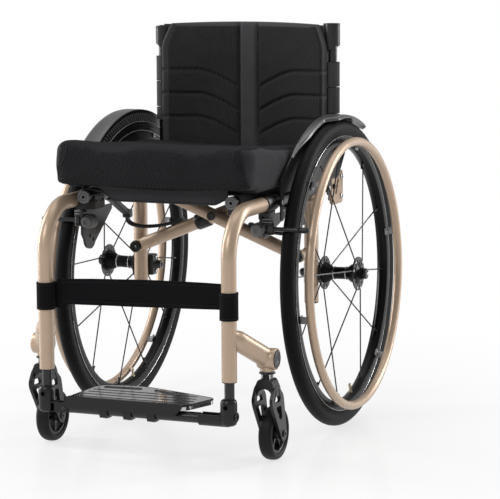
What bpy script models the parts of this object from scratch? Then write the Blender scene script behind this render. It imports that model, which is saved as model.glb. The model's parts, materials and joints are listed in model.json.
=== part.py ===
"""A folding active wheelchair, modelled as separate pieces in one shared frame.

Metres, +Z up. The chair stands on Z = 0 and faces -Y, with the origin under its middle.
Left and right are the occupant's: the left side is at +X. The pieces are laid out from
the rear axle, and everything moves together to the origin at the end.
"""

from math import atan2, cos, hypot, pi, radians, sin, sqrt, tan

import bmesh
import bpy
from mathutils import Matrix, Vector

# Clearances between pieces
GAP = 0.0003
RUNNING_GAP = 0.0005
BRACE_GAP = 0.001

# Rear wheels
WHEEL_RADIUS = 0.300
WHEEL_X = 0.233
CAMBER = radians(1.5)
TYRE_HALF_WIDTH = 0.0135
TYRE_DEPTH = 0.031
RIM_DEPTH = 0.019
RIM_HALF_WIDTH = 0.011
RIM_INNER_HALF_WIDTH = 0.006
RIM_SIDE_HEIGHT = 0.0145
HANDRIM_INSET = 0.0105
HANDRIM_TUBE_RADIUS = 0.0085
HANDRIM_OFFSET = 0.0335
HANDRIM_TABS = 6
HANDRIM_SIDES = 8
FIRST_TAB_ANGLE = radians(48)
TAB_WIDTH = 0.012
TAB_THICKNESS = 0.003
HUB_FLANGE_RADIUS = 0.033
HUB_FLANGE_THICKNESS = 0.0035
HUB_BARREL_RADIUS = 0.0135
HUB_SLEEVE_RADIUS = 0.0115
HUB_INNER_END = 0.0335
HUB_OUTER_FLANGE = 0.040
HUB_OUTER_END = 0.050
SPOKE_RADIUS = 0.0014
SPOKES_PER_FLANGE = 6
SPOKE_LEAN = radians(12)
FIRST_SPOKE_ANGLE = radians(6)
HUB_CONE_SLOPE = 2 / 3

# Quick-release axles
AXLE_RADIUS = 0.0063
AXLE_HEAD_RADIUS = 0.010
AXLE_HEAD_LENGTH = 0.006
AXLE_STICKS_OUT = 0.0015
BUTTON_RADIUS = 0.004
BUTTON_STROKE = 0.0025
BUTTON_LENGTH = 0.007

# Side frames
FRAME_X = 0.184
FRAME_TUBE_RADIUS = 0.014
FRONT_TUBE_Y = -0.449
FRONT_TUBE_BOTTOM = 0.162
FRONT_TUBE_END = -0.227
FRONT_BEND_RADIUS = 0.085
SEAT_TUBE_Z = 0.465
SIDE_RAIL_RADIUS = 0.01275
SIDE_RAIL_END = 0.062
SPIGOT_RADIUS = 0.0105
SPIGOT_LENGTH = 0.020
AXLE_TUBE_Y = -0.029
AXLE_TUBE_BOTTOM = 0.245
AXLE_TUBE_SADDLE = 0.007
RECEIVER_RADIUS = 0.0135
RECEIVER_NOSE_RADIUS = 0.010
RECEIVER_INNER_X = 0.151
RECEIVER_STEP_X = 0.165
RECEIVER_HEIGHT = 0.042
RECEIVER_BLOCK_INSET = 0.021
RECEIVER_BLOCK_OUTSET = 0.006

# Folding cross brace and the seat rails on its upper ends
BRACE_PIVOT_INSET = 0.005
BRACE_PIVOT_Z = 0.342
BRACE_TUBE_RADIUS = 0.013
BRACE_LUG_RADIUS = 0.0125
BRACE_LUG_THICKNESS = 0.012
BRACE_NECK_LENGTH = 0.0135
BRACE_BOSS_RADIUS = 0.009
BRACE_PIN_RADIUS = 0.004
BRACE_HEAD_RADIUS = 0.0115
BRACE_HEAD_THICKNESS = 0.007
CENTRE_BOLT_RADIUS = 0.0041
CENTRE_HEAD_RADIUS = 0.010
CENTRE_HEAD_THICKNESS = 0.004
BRACE_SLEEVE_RADIUS = 0.016
BRACE_SLEEVE_START = 0.022
BRACE_SLEEVE_END = 0.050
SEAT_RAIL_INSET = 0.034
SEAT_RAIL_RISE = 0.009
SEAT_RAIL_RADIUS = 0.0115
SEAT_RAIL_FRONT = -0.350
SEAT_RAIL_REAR = 0.032
SADDLE_WALL = 0.0025
SADDLE_FLOOR = 0.0125
SADDLE_LENGTH = 0.040
REAR_SADDLE_LENGTH = 0.028
SADDLE_CLEARANCE = 0.0008
FRONT_SADDLE_Y = -0.315
REAR_SADDLE_Y = 0.014

# Flexible stays from the side rails to the brace
STAY_RADIUS = 0.0045
STAY_Y = -0.090
STAY_BLOCK_HALF = 0.008
STAY_BLOCK_DROP = 0.060
STAY_STRAIGHT = 0.003
STAY_FALL = 0.023
STAY_BEND_X = 0.135
STAY_END_X = 0.078

# Casters
SWIVEL_OUTSET = 0.044
SWIVEL_SETBACK = 0.074
CASTER_TRAIL = 0.031
CASTER_RADIUS = 0.050
CASTER_HALF_WIDTH = 0.012
CASTER_HUB_RADIUS = 0.0377
CASTER_HUB_HALF_WIDTH = 0.0135
CASTER_WEB_HALF = 0.004
CASTER_HOLES = 5
CASTER_HOLE_RADIUS = 0.0068
CASTER_AXLE_RADIUS = 0.004
CASTER_NUT_RADIUS = 0.007
CASTER_SHOULDERS = ((0.45, 1.0), (0.85, 0.75), (1.0, 0.35))
FORK_TOP = 0.158
FORK_ARCH = 0.130
FORK_INNER_HALF = 0.0145
FORK_LEG_THICKNESS = 0.006
FORK_TOP_HALF = 0.017
FORK_FOOT_RADIUS = 0.014
FORK_KNEE_Z = 0.124
FORK_KNEE_FRONT = 0.030
FORK_HOLE_SETFORWARD = 0.0075
FORK_HOLE_LENGTH = 0.024
FORK_UPPER_HOLE_TOP = 0.006
FORK_UPPER_HOLE_HEIGHT = 0.016
FORK_UPPER_HOLE_START = 0.008
FORK_UPPER_HOLE_LEAN = 0.002
FORK_LOWER_HOLE_TOP = 0.018
FORK_LOWER_HOLE_HEIGHT = 0.026
FORK_LOWER_HOLE_LEAN = 0.018
FORK_LOWER_HOLE_FOOT = 0.012
FORK_FOOT_START = radians(25)
FORK_FOOT_END = radians(10)
STEM_RADIUS = 0.005
STEM_LENGTH = 0.040
WASHER_RADIUS = 0.0125
WASHER_THICKNESS = 0.005
WASHER_RISE = 0.006
ARM_ROOT_Z = 0.247
ARM_RADIUS = 0.0185
ARM_BOSS_Z = 0.1945
ARM_BOSS_RADIUS = 0.020
ARM_BOSS_INNER = 0.0175
ARM_BOSS_OUTER = 0.0195
ARM_HOUSING_RADIUS = 0.0135
ARM_HOUSING_GAP = 0.002
ARM_CAP_RADIUS = 0.0165
ARM_CAP_THICKNESS = 0.003
ARM_CAP_RECESS = 0.002

# Legs, footrest bar and footplate
LEG_RADIUS = 0.0092
LEG_INSERT = 0.040
ELBOW_SETFORWARD = 0.004
ELBOW_RADIUS = 0.0155
ELBOW_TOP = 0.1305
ELBOW_BOTTOM = 0.084
FOOT_BAR_Z = 0.0925
FOOT_BAR_RADIUS = 0.010
CRADLE_RADIUS = 0.0135
CRADLE_LENGTH = 0.056
CRADLE_FLOOR_START = 0.0155
FOOT_BAR_OVERLAP = 0.004
FOOT_PIVOT_INSET = 0.038
FOOT_LUG_RADIUS = 0.0095
FOOT_LUG_THICKNESS = 0.0037
FOOT_TONGUE_HALF = 0.005
FOOT_PIN_RADIUS = 0.003
FOOT_BLOCK_LENGTH = 0.0215
FOOTPLATE_RISE = 0.0105
FOOTPLATE_THICKNESS = 0.010
FOOTPLATE_START = 0.0095
FOOTPLATE_FRONT = 0.015
FOOTPLATE_DEPTH = 0.145
FOOTPLATE_WIDTH = 0.265
FOOTPLATE_FRONT_SETBACK = 0.006
# Shares of the footplate's width from its right edge, and of its depth from its back edge
FOOTPLATE_SHAPE = (
    (0.0, 0.393),
    (0.308, 0.200),
    (0.621, 0.014),
    (0.742, 0.0),
    (0.934, 0.090),
    (0.983, 0.193),
)
FOOTPLATE_NOSE_SHARE = 0.104
# Shares of the footplate's width and of the lip's height, at the lip's rounded end
FOOT_LIP_END = ((0.17, 1.0), (0.13, 0.5), (0.11, 0.0))
FOOT_LIP_THICKNESS = 0.0075
FOOT_LIP_HEIGHT = 0.022
FOOT_CLAMP_WIDTH = 0.016
FOOT_CLAMP_HALF_DEPTH = 0.0135
FOOT_CLAMP_DROP = 0.0145
FOOT_CLAMPS = 3
FOOT_CLAMP_FIRST = 0.076
FOOT_CLAMP_SPACING = 0.048

# Backrest
CANE_SETBACK = 0.030
CANE_RADIUS = 0.0095
CANE_BOTTOM = 0.432
CANE_TOP = 0.778
BRACKET_THICKNESS = 0.005
BRACKET_FRONT = 0.024
BRACKET_REAR = 0.011
BRACKET_DROP = 0.037
BRACKET_RISE = 0.029
BRACKET_BOSS_RADIUS = 0.008
BRACKET_CORNER = 0.014
PAD_HALF_WIDTH = 0.176
PAD_BOTTOM = 0.535
PAD_TOP = 0.786
PAD_HOLLOW = 0.0305
PAD_SETBACK = 0.008
PAD_CENTRE_THICKNESS = 0.026
PAD_SIDE_THICKNESS = 0.0095
PAD_EDGE_SHARE = 0.35
PAD_CHANNEL_HALF = 0.020
PAD_SEAM_HALF = 0.007
PAD_SEAM_DEPTH = 0.004
PAD_SEAMS_Z = (0.593, 0.641, 0.689)
PAD_SEAM_DROP = 0.036
PAD_SEAM_BEND_X = 0.105
PAD_GRID_EDGE_SHARE = 0.06
SHELL_PANELS = 16
SHELL_BAND_BOTTOMS = (0.585, 0.613, 0.661, 0.756)
SHELL_BAND_TOPS = (0.610, 0.659, 0.708, 0.784)
SHELL_THICKNESS = 0.003
SHELL_GAP = 0.0005
SHELL_END_INSET = 0.004
LOOP_THICKNESS = 0.0025

# Seat
CUSHION_HALF_WIDTH = 0.198
CUSHION_FRONT = -0.385
CUSHION_REAR = 0.055
CUSHION_TOP = 0.575
CUSHION_WALL_SHARE = 0.72
CUSHION_CORNER = 0.030
CUSHION_CROWN = 0.006
CUSHION_LEG_DIP = 0.007
CUSHION_LEG_X = 0.095
CUSHION_LIFT = 0.0012
CUSHION_COLUMNS = 18
CUSHION_ROWS = 16
SLING_THICKNESS = 0.003
SLING_SAG = 0.020
SLING_FRONT = -0.340
SLING_REAR = 0.030
SLING_RAIL_GAP = 0.001
SLING_HEM = 0.008

# Side guards
GUARD_X = 0.2035
GUARD_THICKNESS = 0.0025
GUARD_BOTTOM = 0.482
GUARD_TYRE_GAP = 0.009
GUARD_ARC_RADIUS = WHEEL_RADIUS + GUARD_TYRE_GAP
GUARD_ARC_THICKNESS = 0.0025
GUARD_FLANGE_WIDTH = 0.0395
GUARD_ARC_FRONT = radians(-38)
GUARD_ARC_REAR = radians(28)
GUARD_STRIP_FRONT = -0.247
GUARD_STRIP_REAR = -0.232
GUARD_STRIP_BOTTOM = 0.430
GUARD_STRIP_TOP = 0.505
GUARD_TAB_FRONT = 0.004
GUARD_TAB_REAR = 0.024
GUARD_TAB_BOTTOM = 0.452
GUARD_BOSS_RADIUS = 0.006

# Wheel locks
LOCK_PLATE_THICKNESS = 0.005
LOCK_CLAMP_HALF = 0.008
LOCK_CLAMP_LEAD = 0.0086
LOCK_CLAMP_LENGTH = 0.054
LOCK_CLAMP_DEPTH = 0.013
LOCK_PLATE_LEAD = 0.005
LOCK_PLATE_DROP = 0.009
LOCK_TAIL_REACH = 0.070
LOCK_TAIL_TOP = 0.012
LOCK_TAIL_BOTTOM = 0.018
LOCK_TIP_SETBACK = 0.028
LOCK_TIP_SWEEP = radians(40)
LOCK_HOLE_SETBACK = 0.004
LOCK_HOLE_RISE = 0.006
LOCK_HOLES_APART = (0.014, 0.011)
LOCK_TIP_Z = 0.363
LOCK_TIP_RADIUS = 0.012
LOCK_HOLE_RADIUS = 0.004
LOCK_BODY_LENGTH = 0.043
LOCK_BODY_HEIGHT = 0.032
LOCK_BODY_DEPTH = 0.024
LEVER_Z = 0.420
LEVER_ROD_RADIUS = 0.0055
LEVER_EYE_RADIUS = 0.0075
LEVER_EYE_HEIGHT = 0.014
LEVER_PIVOT_OUTSET = 0.0135
LEVER_LENGTH = 0.070
LEVER_PIN_RADIUS = 0.003
LEVER_TYRE_GAP = 0.001
LEVER_LUG_THICKNESS = 0.003

# Calf strap
STRAP_LOOP_THICKNESS = 0.003
STRAP_THICKNESS = 0.0035
STRAP_BOTTOM = 0.275
STRAP_RIGHT_HEIGHT = 0.051
STRAP_LEFT_HEIGHT = 0.058

# Facets
TUBE_SIDES = 16
SMALL_SIDES = 12
HOLE_SIDES = 8
WIRE_SIDES = 6
WHEEL_STEPS = 40
CASTER_STEPS = 18
HUB_STEPS = 16
LOOP_STEPS = 12
STAY_STEPS = 9
BEND_STEPS = 7
TIP_STEPS = 5
MERGE_DISTANCE = 1e-5

# Places that follow from the sizes above
SIDES = {"left": 1, "right": -1}
AXLE_Z = WHEEL_RADIUS * cos(CAMBER)
RIM_OUTER_RADIUS = WHEEL_RADIUS - TYRE_DEPTH
RIM_INNER_RADIUS = RIM_OUTER_RADIUS - RIM_DEPTH
HANDRIM_RADIUS = RIM_OUTER_RADIUS - HANDRIM_INSET
BRACE_PIVOT_X = FRAME_X - BRACE_PIVOT_INSET
SEAT_RAIL_X = FRAME_X - SEAT_RAIL_INSET
SEAT_RAIL_Z = SEAT_TUBE_Z + SEAT_RAIL_RISE
BRACE_SLOPE = (SEAT_RAIL_Z - BRACE_PIVOT_Z) / (SEAT_RAIL_X + BRACE_PIVOT_X)
BRACE_ANGLE = atan2(BRACE_SLOPE, 1)
BRACE_CENTRE_Z = BRACE_PIVOT_Z + BRACE_SLOPE * BRACE_PIVOT_X
REAR_BRACE_Y = AXLE_TUBE_Y - FRAME_TUBE_RADIUS - BRACE_TUBE_RADIUS - BRACE_GAP
FRONT_BRACE_Y = REAR_BRACE_Y - 2 * BRACE_TUBE_RADIUS - BRACE_GAP
BRACE_Y = {"right": REAR_BRACE_Y, "left": FRONT_BRACE_Y}
SWIVEL_X = FRAME_X + SWIVEL_OUTSET
SWIVEL_Y = FRONT_TUBE_Y + SWIVEL_SETBACK
CASTER_Y = SWIVEL_Y + CASTER_TRAIL
ELBOW_Y = FRONT_TUBE_Y - ELBOW_SETFORWARD
FOOT_PIVOT_X = -(FRAME_X - FOOT_PIVOT_INSET)
CANE_Y = SIDE_RAIL_END + CANE_SETBACK
BRACKET_X = FRAME_X + SIDE_RAIL_RADIUS + GAP
CLAMP_TOP_Z = SEAT_TUBE_Z - FRAME_TUBE_RADIUS / 2
LEVER_Y = -(sqrt(WHEEL_RADIUS**2 - (LEVER_Z - AXLE_Z) ** 2) + LEVER_ROD_RADIUS + LEVER_TYRE_GAP)
LEVER_X = FRAME_X + LEVER_PIVOT_OUTSET
LOCK_CLAMP_FRONT = LEVER_Y - LOCK_CLAMP_LEAD
LOCK_CLAMP_REAR = LOCK_CLAMP_FRONT + LOCK_CLAMP_LENGTH
FRONT_REACH = ELBOW_Y - FOOTPLATE_FRONT - FOOT_LIP_THICKNESS / 4
ORIGIN_SHIFT = -(FRONT_REACH + WHEEL_RADIUS) / 2

# Base colour, roughness and metallic value of each material
LOOKS = {
    "champagne_paint": ((0.60, 0.47, 0.36), 0.34, 0.55),
    "black_anodised": ((0.018, 0.018, 0.020), 0.38, 0.60),
    "black_plastic": ((0.022, 0.022, 0.024), 0.45, 0.0),
    "grey_plastic": ((0.16, 0.16, 0.17), 0.45, 0.0),
    "guard_grey": ((0.30, 0.30, 0.30), 0.35, 0.30),
    "tyre_rubber": ((0.030, 0.030, 0.033), 0.75, 0.0),
    "bright_steel": ((0.62, 0.62, 0.63), 0.25, 1.0),
    "cushion_fabric": ((0.016, 0.016, 0.018), 0.85, 0.0),
    "back_fabric": ((0.020, 0.020, 0.023), 0.80, 0.0),
    "sling_fabric": ((0.014, 0.014, 0.016), 0.80, 0.0),
    "webbing": ((0.014, 0.014, 0.016), 0.75, 0.0),
}


def clear_scene():
    """Removes every object that is already in the scene."""
    for obj in list(bpy.data.objects):
        bpy.data.objects.remove(obj, do_unlink=True)


def new_collection(name):
    """A collection of that name, linked to the scene."""
    collection = bpy.data.collections.new(name)
    bpy.context.scene.collection.children.link(collection)
    return collection


def look(name):
    """The Principled material of that name, made once."""
    found = bpy.data.materials.get(name)
    if found:
        return found
    colour, roughness, metallic = LOOKS[name]
    made = bpy.data.materials.new(name)
    made.use_nodes = True
    shader = made.node_tree.nodes["Principled BSDF"]
    shader.inputs["Base Color"].default_value = (*colour, 1.0)
    shader.inputs["Roughness"].default_value = roughness
    shader.inputs["Metallic"].default_value = metallic
    made.diffuse_color = (*colour, 1.0)
    return made


def shape(mesh, placed=None):
    """A helper object that holds a mesh until it becomes a part or cuts one."""
    made = bpy.data.objects.new(mesh.name, mesh)
    CUTTERS.objects.link(made)
    made.hide_render = True
    made.display_type = "WIRE"
    if placed:
        made.matrix_world = placed
    return made


def part(name, made, look_name):
    """Turns a shape into the chair's part of that name."""
    CUTTERS.objects.unlink(made)
    PARTS.objects.link(made)
    made.hide_render = False
    made.display_type = "TEXTURED"
    made.name = name
    made.data.name = name
    made.data.materials.clear()
    made.data.materials.append(look(look_name))
    made.data.shade_smooth()
    made.data.set_sharp_from_angle(angle=radians(35))
    return made


def boolean(target, tool, operation):
    """Joins a shape to another, or cuts it out of it."""
    modifier = target.modifiers.new(operation.lower(), "BOOLEAN")
    modifier.operation = operation
    modifier.object = tool
    modifier.solver = "EXACT"
    return target


def unite(target, *tools):
    """The target with every tool joined to it."""
    for tool in tools:
        boolean(target, tool, "UNION")
    return target


def cut(target, *tools):
    """The target with every tool cut out of it."""
    for tool in tools:
        boolean(target, tool, "DIFFERENCE")
    return target


def mesh_shape(name, build, placed=None):
    """A shape whose mesh a function fills with bmesh operators."""
    mesh = bpy.data.meshes.new(name)
    shell = bmesh.new()
    build(shell)
    bmesh.ops.recalc_face_normals(shell, faces=shell.faces)
    shell.to_mesh(mesh)
    shell.free()
    return shape(mesh, placed)


def rod(start, end, radius, sides=SMALL_SIDES, end_radius=None):
    """A straight round bar, or a cone frustum, from one point to another."""
    start, end = Vector(start), Vector(end)
    turn = (end - start).to_track_quat("Z", "Y").to_matrix().to_4x4()
    placed = Matrix.Translation((start + end) / 2) @ turn

    def build(shell):
        bmesh.ops.create_cone(
            shell,
            cap_ends=True,
            segments=sides,
            radius1=radius,
            radius2=radius if end_radius is None else end_radius,
            depth=(end - start).length,
            matrix=placed @ Matrix.Rotation(pi / sides, 4, "Z"),
        )

    return mesh_shape("rod", build)


def block(low, high, placed=None):
    """A box between two opposite corners, given in any order."""
    low, high = Vector(low), Vector(high)
    size = Vector(abs(b - a) for a, b in zip(low, high))

    def build(shell):
        scaled = Matrix.Translation((low + high) / 2) @ Matrix.Diagonal(size).to_4x4()
        bmesh.ops.create_cube(shell, size=1.0, matrix=scaled)

    return mesh_shape("block", build, placed)


def mesh_from_curve(curve, placed):
    """A closed mesh shape made from a curve, with its caps welded on."""
    holder = bpy.data.objects.new(curve.name, curve)
    CUTTERS.objects.link(holder)
    holder.matrix_world = placed
    graph = bpy.context.evaluated_depsgraph_get()
    mesh = bpy.data.meshes.new_from_object(holder.evaluated_get(graph))
    shell = bmesh.new()
    shell.from_mesh(mesh)
    bmesh.ops.remove_doubles(shell, verts=shell.verts, dist=MERGE_DISTANCE)
    bmesh.ops.recalc_face_normals(shell, faces=shell.faces)
    shell.to_mesh(mesh)
    shell.free()
    bpy.data.objects.remove(holder, do_unlink=True)
    return shape(mesh, placed)


def tube(points, radius, sides=TUBE_SIDES):
    """A round bar that follows a list of points."""
    curve = bpy.data.curves.new("tube", "CURVE")
    curve.dimensions = "3D"
    curve.bevel_depth = radius
    curve.bevel_resolution = (sides - 4) // 2
    curve.use_fill_caps = True
    run = curve.splines.new("POLY")
    run.points.add(len(points) - 1)
    for knot, place in zip(run.points, points):
        knot.co = (*place, 1.0)
    return mesh_from_curve(curve, Matrix.Identity(4))


# How an outline's own axes lie in the world, by the axis that its thickness runs along
PLANES = {
    "X": Matrix(((0, 0, 1), (1, 0, 0), (0, 1, 0))),
    "Y": Matrix(((1, 0, 0), (0, 0, -1), (0, 1, 0))),
    "Z": Matrix.Identity(3),
}


def plate(outline, axis, low, high, holes=()):
    """A flat piece: an outline, and any holes, between two places along an axis.

    The outline's points are (y, z) for axis X, (x, z) for Y and (x, y) for Z.
    """
    curve = bpy.data.curves.new("plate", "CURVE")
    curve.dimensions = "2D"
    curve.fill_mode = "BOTH"
    curve.extrude = abs(high - low) / 2
    for ring in (outline, *holes):
        run = curve.splines.new("POLY")
        run.points.add(len(ring) - 1)
        run.use_cyclic_u = True
        for knot, (first, second) in zip(run.points, ring):
            knot.co = (first, second, 0.0, 1.0)
    middle = Vector((0, 0, 0))
    middle["XYZ".index(axis)] = (low + high) / 2
    return mesh_from_curve(curve, Matrix.Translation(middle) @ PLANES[axis].to_4x4())


def arc(centre, radius, start, end, steps):
    """Points on an arc, both ends included, by angles from the first axis."""
    return [
        (
            centre[0] + radius * cos(start + (end - start) * step / steps),
            centre[1] + radius * sin(start + (end - start) * step / steps),
        )
        for step in range(steps + 1)
    ]


def circle(centre, radius, sides=SMALL_SIDES):
    """Points round a circle."""
    return arc(centre, radius, 0, 2 * pi * (1 - 1 / sides), sides - 1)


def rounded_path(corners, bend_radius, steps=BEND_STEPS):
    """A run's corners, each inner one replaced by an arc of that radius."""
    path = [Vector(corners[0])]
    for before, corner, after in zip(corners, corners[1:], corners[2:]):
        corner = Vector(corner)
        back = (Vector(before) - corner).normalized()
        ahead = (Vector(after) - corner).normalized()
        half = back.angle(ahead) / 2
        centre = corner + (back + ahead).normalized() * bend_radius / sin(half)
        first = corner + back * bend_radius / tan(half) - centre
        last = corner + ahead * bend_radius / tan(half) - centre
        for step in range(steps + 1):
            path.append(centre + first.normalized().slerp(last.normalized(), step / steps) * bend_radius)
    path.append(Vector(corners[-1]))
    return path


def turned(profile, placed, steps=HUB_STEPS, closed=True):
    """A turned ring or body: (radius, height) points about the Z axis of a frame.

    The profile runs down its outer side.
    """
    mesh = bpy.data.meshes.new("turned")
    points = [(radius, 0.0, height) for radius, height in profile]
    edges = [(index, index + 1) for index in range(len(points) - 1)]
    if closed:
        edges.append((len(points) - 1, 0))
    mesh.from_pydata(points, edges, [])
    made = shape(mesh, placed)
    screw = made.modifiers.new("turn", "SCREW")
    screw.axis = "Z"
    screw.angle = 2 * pi
    screw.steps = steps
    screw.render_steps = steps
    screw.use_merge_vertices = True
    screw.merge_threshold = MERGE_DISTANCE
    screw.use_smooth_shade = False
    return made


def pillow(columns, rows, place):
    """A closed soft form: a grid and its copy, each vertex placed by a function.

    place(u, v, upper) takes u and v from -1 to 1 and the layer that the vertex is on.
    """

    def build(shell):
        bmesh.ops.create_grid(shell, x_segments=columns, y_segments=rows, size=1.0)
        lower = list(shell.verts)
        grown = bmesh.ops.extrude_face_region(shell, geom=list(shell.faces), use_keep_orig=True)
        upper = [item for item in grown["geom"] if isinstance(item, bmesh.types.BMVert)]
        for layer, verts in enumerate((lower, upper)):
            for vert in verts:
                vert.co = place(vert.co.x, vert.co.y, layer == 1)

    return mesh_shape("pillow", build)


def pivot(name, placed):
    """An empty on a joint's axis, which carries the moving pieces."""
    made = bpy.data.objects.new(name, None)
    made.empty_display_size = 0.03
    made.matrix_world = placed
    PARTS.objects.link(made)
    return made


def carry(carrier, *pieces):
    """Puts pieces under an empty without moving them."""
    for piece in pieces:
        piece.parent = carrier
        piece.matrix_parent_inverse = carrier.matrix_world.inverted()


def mirrored(side, x, y, z):
    """A point given for the left side, on either side."""
    return Vector((side * x, y, z))


def wheel_frame(side):
    """The rear wheel's frame: origin at the hub centre, Z along the axle and outward."""
    tilt = Matrix.Rotation(side * (pi / 2 - CAMBER), 4, "Y")
    return Matrix.Translation(mirrored(side, WHEEL_X, 0, AXLE_Z)) @ tilt


def wheel_point(side, radius, angle, out):
    """A point on the rear wheel, by its angle up from the front and its offset outward."""
    return wheel_frame(side) @ Vector((-side * radius * sin(angle), -radius * cos(angle), out))


def caster_frame(side):
    """The caster wheel's frame: origin at its centre, Z along its axle and outward."""
    return Matrix.Translation(mirrored(side, SWIVEL_X, CASTER_Y, CASTER_RADIUS)) @ Matrix.Rotation(
        side * pi / 2, 4, "Y"
    )


def front_tube(side):
    """The bent tube that is both the front upright and the front half of the seat tube."""
    corners = [
        mirrored(side, FRAME_X, FRONT_TUBE_Y, FRONT_TUBE_BOTTOM),
        mirrored(side, FRAME_X, FRONT_TUBE_Y, SEAT_TUBE_Z),
        mirrored(side, FRAME_X, FRONT_TUBE_END, SEAT_TUBE_Z),
    ]
    made = tube(rounded_path(corners, FRONT_BEND_RADIUS), FRAME_TUBE_RADIUS)
    down, back = Vector((0, 0, -GAP)), Vector((0, GAP, 0))
    leg_top = corners[0] + Vector((0, 0, LEG_INSERT + GAP))
    spigot_tip = corners[2] - Vector((0, SPIGOT_LENGTH + GAP, 0))
    return cut(
        made,
        rod(corners[0] + down, leg_top, LEG_RADIUS + GAP),
        rod(corners[2] + back, spigot_tip, SPIGOT_RADIUS + GAP),
    )


def side_rail(side):
    """The straight seat tube behind the front tube, with the block that holds the stay."""
    start = mirrored(side, FRAME_X, FRONT_TUBE_END + GAP, SEAT_TUBE_Z)
    end = mirrored(side, FRAME_X, SIDE_RAIL_END, SEAT_TUBE_Z)
    spigot = rod(
        start - Vector((0, SPIGOT_LENGTH, 0)),
        start + Vector((0, SPIGOT_LENGTH, 0)),
        SPIGOT_RADIUS,
    )
    holder = block(
        mirrored(side, FRAME_X - STAY_BLOCK_HALF, STAY_Y - STAY_BLOCK_HALF, SEAT_TUBE_Z - STAY_BLOCK_DROP),
        mirrored(side, FRAME_X + STAY_BLOCK_HALF, STAY_Y + STAY_BLOCK_HALF, SEAT_TUBE_Z),
    )
    return unite(rod(start, end, SIDE_RAIL_RADIUS, TUBE_SIDES), spigot, holder)


def rail_cutter(side, radius):
    """The seat tube's whole line, as a cutter of that radius."""
    return rod(
        mirrored(side, FRAME_X, FRONT_TUBE_Y, SEAT_TUBE_Z),
        mirrored(side, FRAME_X, CANE_Y, SEAT_TUBE_Z),
        radius,
        TUBE_SIDES,
    )


def axle_tube(name, side):
    """The upright that carries the axle, with the brace's lower pivot on its front."""
    made = rod(
        mirrored(side, FRAME_X, AXLE_TUBE_Y, AXLE_TUBE_BOTTOM),
        mirrored(side, FRAME_X, AXLE_TUBE_Y, SEAT_TUBE_Z - AXLE_TUBE_SADDLE),
        FRAME_TUBE_RADIUS,
        TUBE_SIDES,
    )
    cut(made, rail_cutter(side, SIDE_RAIL_RADIUS + GAP))
    half_lug = BRACE_LUG_THICKNESS / 2
    lug_rear = BRACE_Y[name] + half_lug + GAP
    head_rear = BRACE_Y[name] - half_lug - RUNNING_GAP
    head_front = head_rear - BRACE_HEAD_THICKNESS

    def on_pivot(y):
        return mirrored(side, BRACE_PIVOT_X, y, BRACE_PIVOT_Z)

    boss = rod(on_pivot(AXLE_TUBE_Y), on_pivot(lug_rear), BRACE_BOSS_RADIUS)
    pin = rod(on_pivot(AXLE_TUBE_Y - GAP), on_pivot((head_front + head_rear) / 2), BRACE_PIN_RADIUS)
    head = rod(on_pivot(head_rear), on_pivot(head_front), BRACE_HEAD_RADIUS)
    return unite(made, boss, pin, head)


def axle_receiver(side):
    """The clamp on the axle tube that the quick-release axle slides into."""
    placed = wheel_frame(side)
    outer = placed @ Vector((0, 0, -HUB_INNER_END - RUNNING_GAP))
    step = placed @ Vector((0, 0, (RECEIVER_STEP_X - WHEEL_X) / cos(CAMBER)))
    inner = placed @ Vector((0, 0, (RECEIVER_INNER_X - WHEEL_X) / cos(CAMBER)))
    jaw_z = AXLE_Z - (WHEEL_X - FRAME_X) * tan(CAMBER)
    jaw = block(
        mirrored(side, FRAME_X - RECEIVER_BLOCK_INSET, AXLE_TUBE_Y, jaw_z - RECEIVER_HEIGHT / 2),
        mirrored(side, FRAME_X + RECEIVER_BLOCK_OUTSET, AXLE_RADIUS, jaw_z + RECEIVER_HEIGHT / 2),
    )
    upright = rod(
        mirrored(side, FRAME_X, AXLE_TUBE_Y, AXLE_TUBE_BOTTOM),
        mirrored(side, FRAME_X, AXLE_TUBE_Y, SEAT_TUBE_Z),
        FRAME_TUBE_RADIUS + GAP,
        TUBE_SIDES,
    )
    made = rod(outer, step, RECEIVER_RADIUS, TUBE_SIDES)
    unite(made, rod(outer, inner, RECEIVER_NOSE_RADIUS, TUBE_SIDES), jaw)
    return cut(made, upright, rod(outer * 2 - inner, inner * 2 - outer, AXLE_RADIUS + GAP))


def axle(side):
    """The quick-release axle, with the bore for its button."""
    placed = wheel_frame(side)
    inner = (RECEIVER_INNER_X - WHEEL_X) / cos(CAMBER) - AXLE_STICKS_OUT
    head_start = HUB_OUTER_END + RUNNING_GAP
    head_end = head_start + AXLE_HEAD_LENGTH

    def along(out):
        return placed @ Vector((0, 0, out))

    made = rod(along(inner), along((head_start + head_end) / 2), AXLE_RADIUS)
    unite(made, rod(along(head_start), along(head_end), AXLE_HEAD_RADIUS))
    bore = rod(along(head_start - GAP), along(head_end + GAP), BUTTON_RADIUS + GAP)
    return cut(made, bore)


def axle_button(side):
    """The push button in the axle's outer end."""
    placed = wheel_frame(side)
    start = HUB_OUTER_END + RUNNING_GAP + BUTTON_STROKE
    return rod(
        placed @ Vector((0, 0, start)),
        placed @ Vector((0, 0, start + BUTTON_LENGTH)),
        BUTTON_RADIUS,
    )


def wheel_rim(side):
    """The rear wheel's box-section rim."""
    side_foot = RIM_OUTER_RADIUS - RIM_SIDE_HEIGHT
    profile = [
        (RIM_OUTER_RADIUS, RIM_HALF_WIDTH),
        (RIM_OUTER_RADIUS, -RIM_HALF_WIDTH),
        (side_foot, -RIM_HALF_WIDTH),
        (RIM_INNER_RADIUS, -RIM_INNER_HALF_WIDTH),
        (RIM_INNER_RADIUS, RIM_INNER_HALF_WIDTH),
        (side_foot, RIM_HALF_WIDTH),
    ]
    return turned(profile, wheel_frame(side), WHEEL_STEPS)


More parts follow.
